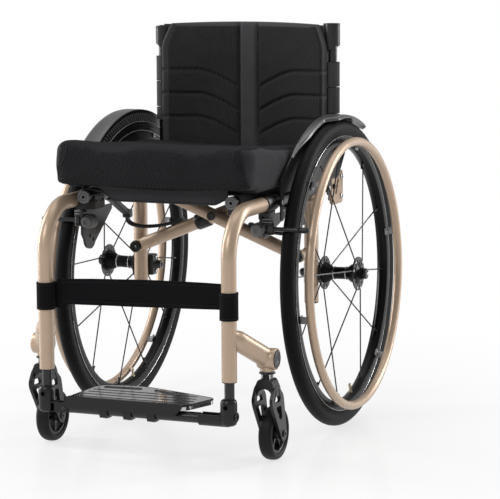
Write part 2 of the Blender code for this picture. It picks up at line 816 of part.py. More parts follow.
def wheel_hub(side):
    """The rear wheel's hub with its twelve spokes, six to a flange."""
    bore = AXLE_RADIUS + RUNNING_GAP
    outer_foot = HUB_OUTER_FLANGE - HUB_FLANGE_THICKNESS
    inner_foot = HUB_FLANGE_THICKNESS - HUB_INNER_END
    cone = HUB_FLANGE_RADIUS - HUB_BARREL_RADIUS
    profile = [
        (HUB_SLEEVE_RADIUS, HUB_OUTER_END),
        (HUB_SLEEVE_RADIUS, HUB_OUTER_FLANGE),
        (HUB_FLANGE_RADIUS, HUB_OUTER_FLANGE),
        (HUB_FLANGE_RADIUS, outer_foot),
        (HUB_BARREL_RADIUS, outer_foot - cone * HUB_CONE_SLOPE),
        (HUB_BARREL_RADIUS, inner_foot + cone * HUB_CONE_SLOPE),
        (HUB_FLANGE_RADIUS, inner_foot),
        (HUB_FLANGE_RADIUS, -HUB_INNER_END),
        (bore, -HUB_INNER_END),
        (bore, HUB_OUTER_END),
    ]
    made = turned(profile, wheel_frame(side), HUB_STEPS)
    half = HUB_FLANGE_THICKNESS / 2
    rim_reach = RIM_INNER_RADIUS * cos(pi / WHEEL_STEPS) - GAP
    for index in range(2 * SPOKES_PER_FLANGE):
        outward = index % 2 == 0
        angle = FIRST_SPOKE_ANGLE + index * pi / SPOKES_PER_FLANGE
        lean = SPOKE_LEAN if index % 4 < 2 else -SPOKE_LEAN
        root_out = HUB_OUTER_FLANGE - half if outward else half - HUB_INNER_END
        root = wheel_point(side, HUB_FLANGE_RADIUS - 2 * SPOKE_RADIUS, angle + lean, root_out)
        tip_out = SPOKE_RADIUS if outward else -SPOKE_RADIUS
        unite(made, rod(root, wheel_point(side, rim_reach, angle, tip_out), SPOKE_RADIUS, WIRE_SIDES))
    return made


def tyre(side):
    """The rear tyre, seated on the rim."""
    bead = RIM_OUTER_RADIUS + GAP
    centre = WHEEL_RADIUS - TYRE_HALF_WIDTH
    crown = arc((centre, 0), TYRE_HALF_WIDTH, pi / 2, -pi / 2, 4)
    profile = [(bead, RIM_HALF_WIDTH), *crown, (bead, -RIM_HALF_WIDTH)]
    return turned(profile, wheel_frame(side), WHEEL_STEPS)


def handrim(side):
    """The push ring with the tabs that hold it to the rim."""
    last = -2 * pi * (1 - 1 / HANDRIM_SIDES)
    profile = arc((HANDRIM_RADIUS, HANDRIM_OFFSET), HANDRIM_TUBE_RADIUS, 0, last, HANDRIM_SIDES - 1)
    made = turned(profile, wheel_frame(side), WHEEL_STEPS)
    for index in range(HANDRIM_TABS):
        angle = FIRST_TAB_ANGLE + index * 2 * pi / HANDRIM_TABS
        turn = Matrix.Rotation(side * angle, 4, "Z")
        tab = block(
            (-TAB_WIDTH / 2, -HANDRIM_RADIUS - TAB_THICKNESS / 2, RIM_HALF_WIDTH + GAP),
            (TAB_WIDTH / 2, -HANDRIM_RADIUS + TAB_THICKNESS / 2, HANDRIM_OFFSET),
            wheel_frame(side) @ turn,
        )
        unite(made, tab)
    return made


def caster_arm(side):
    """The arm from the front tube down to the caster's swivel housing."""
    root = mirrored(side, FRAME_X, FRONT_TUBE_Y, ARM_ROOT_Z)
    tip = mirrored(side, SWIVEL_X, SWIVEL_Y, ARM_BOSS_Z)
    made = rod(root, tip, ARM_RADIUS, TUBE_SIDES)
    boss_out = SWIVEL_X + ARM_BOSS_OUTER
    boss = rod(
        mirrored(side, SWIVEL_X - ARM_BOSS_INNER, SWIVEL_Y, ARM_BOSS_Z),
        mirrored(side, boss_out, SWIVEL_Y, ARM_BOSS_Z),
        ARM_BOSS_RADIUS,
        TUBE_SIDES,
    )
    housing_bottom = FORK_TOP + WASHER_RISE + WASHER_THICKNESS + ARM_HOUSING_GAP
    housing = rod(
        mirrored(side, SWIVEL_X, SWIVEL_Y, housing_bottom),
        mirrored(side, SWIVEL_X, SWIVEL_Y, ARM_BOSS_Z),
        ARM_HOUSING_RADIUS,
        TUBE_SIDES,
    )
    unite(made, boss, housing)
    front = rod(
        mirrored(side, FRAME_X, FRONT_TUBE_Y, FRONT_TUBE_BOTTOM),
        mirrored(side, FRAME_X, FRONT_TUBE_Y, SEAT_TUBE_Z),
        FRAME_TUBE_RADIUS + GAP,
        TUBE_SIDES,
    )
    stem_bore = rod(
        mirrored(side, SWIVEL_X, SWIVEL_Y, FORK_TOP),
        mirrored(side, SWIVEL_X, SWIVEL_Y, FORK_TOP + STEM_LENGTH + RUNNING_GAP),
        STEM_RADIUS + RUNNING_GAP,
    )
    recess = rod(
        mirrored(side, boss_out - ARM_CAP_RECESS, SWIVEL_Y, ARM_BOSS_Z),
        mirrored(side, boss_out + ARM_CAP_RECESS, SWIVEL_Y, ARM_BOSS_Z),
        ARM_CAP_RADIUS + GAP,
        TUBE_SIDES,
    )
    return cut(made, front, stem_bore, recess)


def caster_arm_cap(side):
    """The plug in the outer end of the caster arm."""
    start = SWIVEL_X + ARM_BOSS_OUTER - ARM_CAP_RECESS + GAP
    return rod(
        mirrored(side, start, SWIVEL_Y, ARM_BOSS_Z),
        mirrored(side, start + ARM_CAP_THICKNESS, SWIVEL_Y, ARM_BOSS_Z),
        ARM_CAP_RADIUS,
        TUBE_SIDES,
    )


def fork_leg(side, inner, outer):
    """One leg of the fork, with the two openings in it."""
    front = SWIVEL_Y - FORK_TOP_HALF
    rear = SWIVEL_Y + FORK_TOP_HALF
    foot = (CASTER_Y, CASTER_RADIUS)
    outline = [
        (rear, FORK_TOP),
        (front, FORK_TOP),
        (SWIVEL_Y - FORK_KNEE_FRONT, FORK_KNEE_Z),
        (SWIVEL_Y - FORK_KNEE_FRONT + FORK_FOOT_RADIUS / 3, FORK_KNEE_Z - FORK_FOOT_RADIUS),
        *arc(foot, FORK_FOOT_RADIUS, pi + FORK_FOOT_START, 2 * pi + FORK_FOOT_END, BEND_STEPS),
        (SWIVEL_Y + CASTER_TRAIL, FORK_KNEE_Z),
    ]
    middle = SWIVEL_Y - FORK_HOLE_SETFORWARD
    upper_start = middle - FORK_UPPER_HOLE_START
    upper_top = FORK_KNEE_Z + FORK_UPPER_HOLE_TOP
    upper_bottom = upper_top - FORK_UPPER_HOLE_HEIGHT
    upper = [
        (upper_start, upper_top),
        (upper_start + FORK_HOLE_LENGTH, upper_top),
        (upper_start + FORK_HOLE_LENGTH + 2 * FORK_UPPER_HOLE_LEAN, upper_bottom),
        (upper_start + FORK_UPPER_HOLE_LEAN, upper_bottom),
    ]
    lower_top = FORK_KNEE_Z - FORK_LOWER_HOLE_TOP
    lower_bottom = lower_top - FORK_LOWER_HOLE_HEIGHT
    lower_start = middle + FORK_LOWER_HOLE_LEAN
    lower = [
        (middle, lower_top),
        (middle + FORK_HOLE_LENGTH, lower_top),
        (lower_start + FORK_LOWER_HOLE_FOOT, lower_bottom),
        (lower_start, lower_bottom),
    ]
    return plate(outline, "X", side * inner, side * outer, holes=(upper, lower))


def caster_fork(side):
    """The fork with its stem, washer and wheel axle, all of which swivel together."""
    leg_outer = FORK_INNER_HALF + FORK_LEG_THICKNESS
    made = fork_leg(side, SWIVEL_X + FORK_INNER_HALF, SWIVEL_X + leg_outer)
    inner_leg = fork_leg(side, SWIVEL_X - leg_outer, SWIVEL_X - FORK_INNER_HALF)
    lap = FORK_INNER_HALF + FORK_LEG_THICKNESS / 2
    crown = block(
        mirrored(side, SWIVEL_X - lap, SWIVEL_Y - FORK_TOP_HALF + GAP, FORK_ARCH),
        mirrored(side, SWIVEL_X + lap, SWIVEL_Y + FORK_TOP_HALF - GAP, FORK_TOP - GAP),
    )

    def on_swivel(z):
        return mirrored(side, SWIVEL_X, SWIVEL_Y, z)

    def on_axle(x):
        return mirrored(side, SWIVEL_X + x, CASTER_Y, CASTER_RADIUS)

    stem = rod(on_swivel(FORK_ARCH + GAP), on_swivel(FORK_TOP + STEM_LENGTH), STEM_RADIUS)
    washer_z = FORK_TOP + WASHER_RISE
    washer = rod(on_swivel(washer_z), on_swivel(washer_z + WASHER_THICKNESS), WASHER_RADIUS)
    pin = rod(on_axle(-leg_outer), on_axle(leg_outer), CASTER_AXLE_RADIUS)
    nuts = [
        rod(on_axle(end * (leg_outer - GAP)), on_axle(end * (leg_outer + FORK_LEG_THICKNESS / 2)),
            CASTER_NUT_RADIUS, WIRE_SIDES)
        for end in (-1, 1)
    ]
    return unite(made, crown, inner_leg, stem, washer, pin, *nuts)


def caster_hub(side):
    """The caster's hub: a barrel, a thin web with round holes and a rim."""
    rim_inner = CASTER_HUB_RADIUS - CASTER_HOLE_RADIUS
    rim_half = CASTER_HALF_WIDTH - CASTER_WEB_HALF / 2
    barrel = CASTER_AXLE_RADIUS + FORK_LEG_THICKNESS
    bore = CASTER_AXLE_RADIUS + RUNNING_GAP
    outer_side = [
        (barrel, CASTER_HUB_HALF_WIDTH),
        (barrel, CASTER_WEB_HALF),
        (rim_inner, CASTER_WEB_HALF),
        (rim_inner, rim_half),
        (CASTER_HUB_RADIUS, rim_half),
    ]
    profile = [*outer_side, *((radius, -height) for radius, height in reversed(outer_side))]
    profile += [(bore, -CASTER_HUB_HALF_WIDTH), (bore, CASTER_HUB_HALF_WIDTH)]
    made = turned(profile, caster_frame(side), CASTER_STEPS)
    hole_circle = (barrel + rim_inner) / 2
    for index in range(CASTER_HOLES):
        angle = 2 * pi * index / CASTER_HOLES
        y, x = hole_circle * sin(angle), hole_circle * cos(angle)
        low = caster_frame(side) @ Vector((x, y, -CASTER_HALF_WIDTH))
        high = caster_frame(side) @ Vector((x, y, CASTER_HALF_WIDTH))
        cut(made, rod(low, high, CASTER_HOLE_RADIUS, HOLE_SIDES))
    return made


def caster_tyre(side):
    """The caster's solid tyre."""
    bead = CASTER_HUB_RADIUS + GAP
    depth = CASTER_RADIUS - bead
    upper = [
        (bead, CASTER_HALF_WIDTH - CASTER_WEB_HALF / 2),
        *((bead + depth * high, CASTER_HALF_WIDTH * wide) for high, wide in CASTER_SHOULDERS),
    ]
    profile = [*upper, *((radius, -height) for radius, height in reversed(upper))]
    return turned(profile, caster_frame(side), CASTER_STEPS)


def leg_elbow(name, side):
    """The inner leg and the elbow under it that holds the footrest bar."""

    def on_leg(z):
        return mirrored(side, FRAME_X, FRONT_TUBE_Y, z)

    def on_bar(inset):
        return mirrored(side, FRAME_X - inset, ELBOW_Y, FOOT_BAR_Z)

    made = rod(
        mirrored(side, FRAME_X, ELBOW_Y, ELBOW_BOTTOM),
        mirrored(side, FRAME_X, ELBOW_Y, ELBOW_TOP),
        ELBOW_RADIUS,
        TUBE_SIDES,
    )
    unite(made, rod(on_leg(ELBOW_TOP - LEG_RADIUS), on_leg(FRONT_TUBE_BOTTOM + LEG_INSERT), LEG_RADIUS))
    if name == "left":
        groove = FOOT_BAR_RADIUS + RUNNING_GAP
        unite(made, rod(on_bar(GAP), on_bar(CRADLE_LENGTH), CRADLE_RADIUS, TUBE_SIDES))
        cut(made, rod(on_bar(CRADLE_FLOOR_START), on_bar(CRADLE_LENGTH + GAP), groove, TUBE_SIDES))
        mouth = block(
            on_bar(CRADLE_FLOOR_START) + Vector((0, -groove, 0)),
            on_bar(CRADLE_LENGTH + GAP) + Vector((0, groove, CRADLE_RADIUS + GAP)),
        )
        return cut(made, mouth)
    lug_inner = FOOT_TONGUE_HALF + GAP
    lug_outer = lug_inner + FOOT_LUG_THICKNESS
    root = block(
        on_bar(GAP) + Vector((0, -lug_outer, -FOOT_LUG_RADIUS)),
        on_bar(FOOT_BLOCK_LENGTH) + Vector((0, lug_outer, FOOT_LUG_RADIUS)),
    )
    unite(made, root)
    for hand in (-1, 1):
        low, high = hand * lug_inner, hand * lug_outer
        centre = (FOOT_PIVOT_X, FOOT_BAR_Z)
        round_end = arc(centre, FOOT_LUG_RADIUS, -pi / 2, pi / 2, 6)
        start = -(FRAME_X - ELBOW_RADIUS / 2)
        outline = [
            *round_end,
            (start, FOOT_BAR_Z + FOOT_LUG_RADIUS),
            (start, FOOT_BAR_Z - FOOT_LUG_RADIUS),
        ]
        unite(made, plate(outline, "Y", ELBOW_Y + low, ELBOW_Y + high))
    pin_half = (lug_inner + lug_outer) / 2
    pin = rod(
        (FOOT_PIVOT_X, ELBOW_Y - pin_half, FOOT_BAR_Z),
        (FOOT_PIVOT_X, ELBOW_Y + pin_half, FOOT_BAR_Z),
        FOOT_PIN_RADIUS,
    )
    return unite(made, pin)


def footrest_bar():
    """The bar under the footplate, hinged at the right and resting in the left cradle."""
    start = FOOT_PIVOT_X + FOOT_LUG_RADIUS + BRACE_GAP
    tip = FRAME_X - CRADLE_LENGTH + FOOT_BAR_OVERLAP
    made = rod((start, ELBOW_Y, FOOT_BAR_Z), (tip, ELBOW_Y, FOOT_BAR_Z), FOOT_BAR_RADIUS, TUBE_SIDES)
    round_end = arc((FOOT_PIVOT_X, FOOT_BAR_Z), FOOT_LUG_RADIUS - GAP, pi / 2, 3 * pi / 2, 6)
    reach = start + FOOT_BAR_RADIUS
    outline = [*round_end, (reach, round_end[-1][1]), (reach, round_end[0][1])]
    bore = circle((FOOT_PIVOT_X, FOOT_BAR_Z), FOOT_PIN_RADIUS + RUNNING_GAP)
    tongue = plate(
        outline, "Y", ELBOW_Y - FOOT_TONGUE_HALF, ELBOW_Y + FOOT_TONGUE_HALF, holes=(bore,)
    )
    return unite(made, tongue)


def footplate():
    """The footplate with its front lip and the clamps that grip the bar."""
    left = FOOT_PIVOT_X + FOOTPLATE_START
    right = left + FOOTPLATE_WIDTH
    front = ELBOW_Y - FOOTPLATE_FRONT
    back = front + FOOTPLATE_DEPTH
    bottom = FOOT_BAR_Z + FOOTPLATE_RISE
    top = bottom + FOOTPLATE_THICKNESS
    outline = [
        (left, front),
        (right - FOOTPLATE_WIDTH * FOOTPLATE_NOSE_SHARE, front + FOOTPLATE_FRONT_SETBACK),
        *((right - FOOTPLATE_WIDTH * across, back - FOOTPLATE_DEPTH * ahead)
          for across, ahead in FOOTPLATE_SHAPE),
    ]
    made = plate(outline, "Z", bottom, top)
    lip_top = top + FOOT_LIP_THICKNESS / 2
    lip = plate(
        [
            (left, lip_top),
            (left, lip_top - FOOT_LIP_HEIGHT),
            *((right - FOOTPLATE_WIDTH * across, lip_top - FOOT_LIP_HEIGHT * down)
              for across, down in FOOT_LIP_END),
        ],
        "Y",
        front - FOOT_LIP_THICKNESS / 4,
        front + FOOT_LIP_THICKNESS * 3 / 4,
    )
    unite(made, lip)
    for index in range(FOOT_CLAMPS):
        start = FOOT_PIVOT_X + FOOT_CLAMP_FIRST + index * FOOT_CLAMP_SPACING
        clamp = block(
            (start, ELBOW_Y - FOOT_CLAMP_HALF_DEPTH, FOOT_BAR_Z - FOOT_CLAMP_DROP),
            (start + FOOT_CLAMP_WIDTH, ELBOW_Y + FOOT_CLAMP_HALF_DEPTH, bottom + FOOTPLATE_THICKNESS / 4),
        )
        unite(made, clamp)
    bar_space = rod(
        (left - FOOT_BAR_RADIUS, ELBOW_Y, FOOT_BAR_Z),
        (FRAME_X, ELBOW_Y, FOOT_BAR_Z),
        FOOT_BAR_RADIUS + GAP,
        TUBE_SIDES,
    )
    return cut(made, bar_space)


def seat_rail(side):
    """The rail that the seat sling hangs from."""
    return rod(
        mirrored(side, SEAT_RAIL_X, SEAT_RAIL_FRONT, SEAT_RAIL_Z),
        mirrored(side, SEAT_RAIL_X, SEAT_RAIL_REAR, SEAT_RAIL_Z),
        SEAT_RAIL_RADIUS,
        TUBE_SIDES,
    )


def saddle(side, middle, length, tube_radius):
    """An open cradle on the seat tube that a seat rail drops into."""
    groove = SEAT_RAIL_RADIUS + SADDLE_CLEARANCE
    inner = SEAT_RAIL_X - groove - SADDLE_WALL
    outer = FRAME_X - FRAME_TUBE_RADIUS / 2
    made = block(
        mirrored(side, inner, middle - length / 2, SEAT_RAIL_Z - groove - SADDLE_FLOOR),
        mirrored(side, outer, middle + length / 2, SEAT_RAIL_Z),
    )
    ends = [middle + end * (length / 2 + BRACE_GAP) for end in (-1, 1)]
    trough = rod(
        mirrored(side, SEAT_RAIL_X, ends[0], SEAT_RAIL_Z),
        mirrored(side, SEAT_RAIL_X, ends[1], SEAT_RAIL_Z),
        groove,
        TUBE_SIDES,
    )
    return cut(made, trough, rail_cutter(side, tube_radius + GAP))


def brace(name, side):
    """One member of the cross brace: a lug on this side's pivot, a tube to the far seat rail."""
    y = BRACE_Y[name]
    pivot_point = mirrored(side, BRACE_PIVOT_X, y, BRACE_PIVOT_Z)
    rail_point = mirrored(-side, SEAT_RAIL_X, y, SEAT_RAIL_Z)
    run = (rail_point - pivot_point).normalized()
    tube_end = rail_point - run * SEAT_RAIL_RADIUS / 2
    made = rod(pivot_point + run * BRACE_NECK_LENGTH, tube_end, BRACE_TUBE_RADIUS, TUBE_SIDES)
    half = BRACE_LUG_THICKNESS / 2
    along = Vector((0, half, 0))
    lug = rod(pivot_point - along, pivot_point + along, BRACE_LUG_RADIUS, TUBE_SIDES)
    neck_half = BRACE_LUG_RADIUS - BRACE_GAP
    turn = Matrix.Translation(pivot_point) @ Matrix.Rotation(-atan2(run.z, run.x), 4, "Y")
    neck = block((0, GAP - half, -neck_half), (2 * BRACE_NECK_LENGTH, half - GAP, neck_half), turn)
    centre = Vector((0, y, BRACE_CENTRE_Z))
    unite(made, lug, neck)
    if name == "right":
        sleeve = rod(
            centre - run * BRACE_SLEEVE_START,
            centre - run * BRACE_SLEEVE_END,
            BRACE_SLEEVE_RADIUS,
            TUBE_SIDES,
        )
        unite(made, sleeve)
        flat = block(
            centre + Vector((-BRACE_SLEEVE_END * 2, -2 * BRACE_TUBE_RADIUS, -BRACE_SLEEVE_END)),
            centre + Vector((0, -BRACE_TUBE_RADIUS, BRACE_SLEEVE_END)),
        )
        cut(made, flat)
    through = Vector((0, 2 * BRACE_TUBE_RADIUS, 0))
    pivot_bore = rod(pivot_point - through, pivot_point + through, BRACE_PIN_RADIUS + RUNNING_GAP)
    centre_bore = rod(centre - through, centre + through, CENTRE_BOLT_RADIUS + GAP)
    rail_space = rod(
        mirrored(-side, SEAT_RAIL_X, SEAT_RAIL_FRONT, SEAT_RAIL_Z),
        mirrored(-side, SEAT_RAIL_X, SEAT_RAIL_REAR, SEAT_RAIL_Z),
        SEAT_RAIL_RADIUS + GAP,
        TUBE_SIDES,
    )
    return cut(made, pivot_bore, centre_bore, rail_space)


def brace_pivot_bolt():
    """The bolt that the two brace members turn on."""
    front = FRONT_BRACE_Y - BRACE_TUBE_RADIUS - GAP
    rear = REAR_BRACE_Y + BRACE_TUBE_RADIUS + GAP

    def on_bolt(y):
        return Vector((0, y, BRACE_CENTRE_Z))

    made = rod(on_bolt(front - GAP), on_bolt(rear + GAP), CENTRE_BOLT_RADIUS)
    front_head = rod(on_bolt(front), on_bolt(front - CENTRE_HEAD_THICKNESS), CENTRE_HEAD_RADIUS)
    rear_head = rod(on_bolt(rear), on_bolt(rear + CENTRE_HEAD_THICKNESS), CENTRE_HEAD_RADIUS)
    return unite(made, front_head, rear_head)


def stay_strap(name, side):
    """A flexible stay that curves from its block under the side rail to the brace."""
    y = BRACE_Y[name]
    top = mirrored(side, FRAME_X, STAY_Y, SEAT_TUBE_Z - STAY_BLOCK_DROP - GAP)
    start = top - Vector((0, 0, STAY_STRAIGHT))
    first = top - Vector((0, 0, STAY_FALL))
    rise = (BRACE_TUBE_RADIUS + STAY_RADIUS + RUNNING_GAP) / cos(BRACE_ANGLE)

    def over_brace(x):
        return mirrored(side, x, y, BRACE_CENTRE_Z - BRACE_SLOPE * x + rise)

    last, end = over_brace(STAY_BEND_X), over_brace(STAY_END_X)
    points = [top]
    for step in range(STAY_STEPS + 1):
        t = step / STAY_STEPS
        outer = start * (1 - t) ** 3 + first * 3 * t * (1 - t) ** 2
        points.append(outer + last * 3 * t**2 * (1 - t) + end * t**3)
    return tube(points, STAY_RADIUS, HOLE_SIDES)


def back_bracket(side):
    """The plate that joins the side rail to the back cane."""
    front, rear = SIDE_RAIL_END - BRACKET_FRONT, CANE_Y + BRACKET_REAR
    bottom, top = SEAT_TUBE_Z - BRACKET_DROP, SEAT_TUBE_Z + BRACKET_RISE
    corner = BRACKET_CORNER
    outline = [
        *arc((front + corner, bottom + corner), corner, pi, 3 * pi / 2, 4),
        *arc((rear - corner, bottom + corner), corner, 3 * pi / 2, 2 * pi, 4),
        (rear, top),
        (front, top),
    ]
    slot_y = SIDE_RAIL_END + BRACKET_BOSS_RADIUS / 2
    slot = [
        (slot_y - BRACKET_THICKNESS, SEAT_TUBE_Z - BRACKET_BOSS_RADIUS),
        (slot_y + BRACKET_THICKNESS, SEAT_TUBE_Z - BRACKET_BOSS_RADIUS),
        (slot_y + BRACKET_THICKNESS, SEAT_TUBE_Z + BRACKET_CORNER),
        (slot_y - BRACKET_THICKNESS, SEAT_TUBE_Z + BRACKET_CORNER),
    ]
    made = plate(outline, "X", side * BRACKET_X, side * (BRACKET_X + BRACKET_THICKNESS), holes=(slot,))
    for z in (bottom + corner, top - corner):
        start = mirrored(side, FRAME_X, CANE_Y, z)
        end = mirrored(side, BRACKET_X + BRACKET_THICKNESS / 2, CANE_Y, z)
        unite(made, rod(start, end, BRACKET_BOSS_RADIUS))
    cane_space = rod(
        mirrored(side, FRAME_X, CANE_Y, CANE_BOTTOM - BRACKET_DROP),
        mirrored(side, FRAME_X, CANE_Y, CANE_TOP),
        CANE_RADIUS + GAP,
        TUBE_SIDES,
    )
    return cut(made, cane_space, block(
        mirrored(side, FRAME_X - CANE_RADIUS, CANE_Y - 2 * CANE_RADIUS, bottom - GAP),
        mirrored(side, FRAME_X + GAP, CANE_Y + 2 * CANE_RADIUS, top + GAP),
    ))


def back_cane(side):
    """The upright tube of the backrest."""
    return rod(
        mirrored(side, FRAME_X, CANE_Y, CANE_BOTTOM),
        mirrored(side, FRAME_X, CANE_Y, CANE_TOP),
        CANE_RADIUS,
        TUBE_SIDES,
    )


def pad_front(x):
    """How far back the pad's front face lies at a place across it."""
    return CANE_Y + PAD_SETBACK - PAD_HOLLOW * (x / PAD_HALF_WIDTH) ** 2


def pad_rear(x):
    """How far back the pad's rear face lies at a place across it."""
    taper = PAD_CENTRE_THICKNESS - PAD_SIDE_THICKNESS
    return pad_front(x) + PAD_CENTRE_THICKNESS - taper * (x / PAD_HALF_WIDTH) ** 2


def edge_fullness(u, v, share):
    """How thick a pillow is near its edges, from its share there to one inside."""
    return share + (1 - share) * sqrt((1 - u**8) * (1 - v**8))


def stations(seams, low, high):
    """Grid lines from one edge to the other, with three at each seam and two near each edge."""
    edge = (high - low) * PAD_GRID_EDGE_SHARE
    lines = [low, low + edge / 2, low + edge]
    for seam in seams:
        lines += [seam - PAD_SEAM_HALF, seam, seam + PAD_SEAM_HALF]
    return sorted([*lines, high - edge, high - edge / 2, high])


def back_pad():
    """The curved back pad: an upright strip up its middle, and seams that slant down to it."""
    across = stations((-PAD_CHANNEL_HALF, PAD_CHANNEL_HALF), -PAD_HALF_WIDTH, PAD_HALF_WIDTH)
    bends = [PAD_SEAM_BEND_X / 2, PAD_SEAM_BEND_X, (PAD_SEAM_BEND_X + PAD_HALF_WIDTH) / 2]
    across = sorted([*across, *bends, *(-x for x in bends)])
    upward = stations(PAD_SEAMS_Z, PAD_BOTTOM, PAD_TOP)
    columns, rows = len(across) - 1, len(upward) - 1

    def place(u, v, upper):
        column, row = round((u + 1) / 2 * columns), round((v + 1) / 2 * rows)
        x, z = across[column], upward[row]
        on_seam = abs(x) == PAD_CHANNEL_HALF or (z in PAD_SEAMS_Z and abs(x) > PAD_CHANNEL_HALF)
        slant = min(1.0, max(0.0, (PAD_SEAM_BEND_X - abs(x)) / (PAD_SEAM_BEND_X - PAD_CHANNEL_HALF)))
        z -= PAD_SEAM_DROP * slant * (1 - v**4)
        u, v = x / PAD_HALF_WIDTH, 2 * (upward[row] - PAD_BOTTOM) / (PAD_TOP - PAD_BOTTOM) - 1
        middle = (pad_front(x) + pad_rear(x)) / 2
        half = (pad_rear(x) - pad_front(x)) / 2 * edge_fullness(u, v, PAD_EDGE_SHARE)
        if upper:
            return Vector((x, middle + half, z))
        groove = PAD_SEAM_DEPTH * half * 2 / PAD_CENTRE_THICKNESS if on_seam else 0.0
        return Vector((x, middle - half + groove, z))

    return pillow(columns, rows, place)


def back_shell():
    """The upholstery behind the pad, with the loops that hold it to the canes."""
    end = FRAME_X - SHELL_END_INSET
    across = [end * (2 * step / SHELL_PANELS - 1) for step in range(SHELL_PANELS + 1)]
    front = [(x, pad_rear(x) + SHELL_GAP) for x in across]
    rear = [(x, y + SHELL_THICKNESS) for x, y in reversed(front)]
    bands = list(zip(SHELL_BAND_BOTTOMS, SHELL_BAND_TOPS))
    made = plate([*front, *rear], "Z", bands[0][0] + GAP, bands[-1][1] - GAP)
    inner = CANE_RADIUS + RUNNING_GAP
    for side in SIDES.values():
        for low, high in bands:
            ring = [
                (inner + LOOP_THICKNESS, high),
                (inner + LOOP_THICKNESS, low),
                (inner, low),
                (inner, high),
            ]
            placed = Matrix.Translation(mirrored(side, FRAME_X, CANE_Y, 0))
            unite(made, turned(ring, placed, LOOP_STEPS))
    return made


def sling_height(x):
    """The underside of the seat sling at a place across it."""
    share = max(0.0, 1 - (x / SEAT_RAIL_X) ** 2)
    return SEAT_RAIL_Z + SEAT_RAIL_RADIUS + SLING_RAIL_GAP - SLING_SAG * share**1.5


def seat_sling():
    """The fabric seat, hung between the rails with a hem down each one's outer side."""
    hem_x = SEAT_RAIL_X + SEAT_RAIL_RADIUS + SLING_RAIL_GAP
    steps = 20
    across = [SEAT_RAIL_X * (2 * step / steps - 1) for step in range(steps + 1)]
    under = [(x, sling_height(x)) for x in across]
    over = [(x, z + SLING_THICKNESS) for x, z in reversed(under)]
    shoulder = under[0][1] - SLING_THICKNESS
    hem_z = under[0][1] - SLING_HEM
    outer = hem_x + SLING_THICKNESS
    outline = [
        (-hem_x, hem_z),
        (-hem_x, shoulder),
        *under,
        (hem_x, shoulder),
        (hem_x, hem_z),
        (outer, hem_z),
        (outer, shoulder),
        *over,
        (-outer, shoulder),
        (-outer, hem_z),
    ]
    return plate(outline, "Y", SLING_FRONT, SLING_REAR)


def cushion():
    """The seat cushion: crowned, rounded at its edges, dipped at the front for the legs."""
    half_depth = (CUSHION_REAR - CUSHION_FRONT) / 2
    middle_y = (CUSHION_REAR + CUSHION_FRONT) / 2
    inner = Vector((CUSHION_HALF_WIDTH - CUSHION_CORNER, half_depth - CUSHION_CORNER))

    def plan(u, v):
        spot = Vector((CUSHION_HALF_WIDTH * sin(u * pi / 2), half_depth * sin(v * pi / 2)))
        over = Vector(max(0.0, abs(a) - b) for a, b in zip(spot, inner))
        if min(over) > 0:
            over *= max(over) / hypot(*over)
            spot = Vector(
                (abs(a) / a) * (b + extra) for a, b, extra in zip(spot, inner, over)
            )
        return spot.x, spot.y

    def place(u, v, upper):
        x, y = plan(u, v)
        base = sling_height(x) + SLING_THICKNESS + CUSHION_LIFT
        crown = CUSHION_CROWN * (1 - u**2)
        leg = max(0.0, 1 - ((abs(x) - CUSHION_LEG_X) / CUSHION_LEG_X) ** 2)
        dip = CUSHION_LEG_DIP * leg * max(0.0, -v) ** 3
        top = CUSHION_TOP - CUSHION_CROWN + crown - dip
        fullness = edge_fullness(u, v, CUSHION_WALL_SHARE)
        middle = (base + top) / 2
        reach = (top - base) / 2 * fullness
        return Vector((x, middle_y + y, middle + reach if upper else middle - reach))

    return pillow(CUSHION_COLUMNS, CUSHION_ROWS, place)


def side_guard(side):
    """The guard between the occupant and the wheel, with its flange over the tyre."""
    steps = 12
    start, end = pi / 2 + GUARD_ARC_REAR * -1, pi / 2 - GUARD_ARC_FRONT
    top = arc((0, AXLE_Z), GUARD_ARC_RADIUS + GUARD_ARC_THICKNESS / 2, start, end, steps)
    outline = [
        *top,
        (GUARD_STRIP_FRONT, GUARD_STRIP_TOP),
        (GUARD_STRIP_FRONT, GUARD_STRIP_BOTTOM),
        (GUARD_STRIP_REAR, GUARD_STRIP_BOTTOM),
        (GUARD_STRIP_REAR, GUARD_BOTTOM),
        (top[0][0], GUARD_BOTTOM),
    ]
    outer = GUARD_X + GUARD_THICKNESS
    made = plate(outline, "X", side * GUARD_X, side * outer)
    tab = block(
        mirrored(side, GUARD_X + GAP, GUARD_TAB_FRONT, GUARD_TAB_BOTTOM),
        mirrored(side, outer - GAP, GUARD_TAB_REAR, GUARD_BOTTOM + GUARD_BOSS_RADIUS),
    )
    unite(made, tab)
    flange = [
        *arc((0, AXLE_Z), GUARD_ARC_RADIUS + GUARD_ARC_THICKNESS, start, end, steps),
        *arc((0, AXLE_Z), GUARD_ARC_RADIUS, end, start, steps),
    ]
    flange_start = GUARD_X + GUARD_THICKNESS / 2
    unite(made, plate(flange, "X", side * flange_start, side * (GUARD_X + GUARD_FLANGE_WIDTH)))
    mounts = (
        ((GUARD_STRIP_FRONT + GUARD_STRIP_REAR) / 2, FRAME_TUBE_RADIUS),
        ((GUARD_TAB_FRONT + GUARD_TAB_REAR) / 2, SIDE_RAIL_RADIUS),
    )
    for y, tube_radius in mounts:
        boss = rod(
            mirrored(side, FRAME_X + tube_radius + GAP, y, SEAT_TUBE_Z),
            mirrored(side, GUARD_X + GUARD_THICKNESS / 2, y, SEAT_TUBE_Z),
            GUARD_BOSS_RADIUS,
        )
        unite(made, boss)
    return made


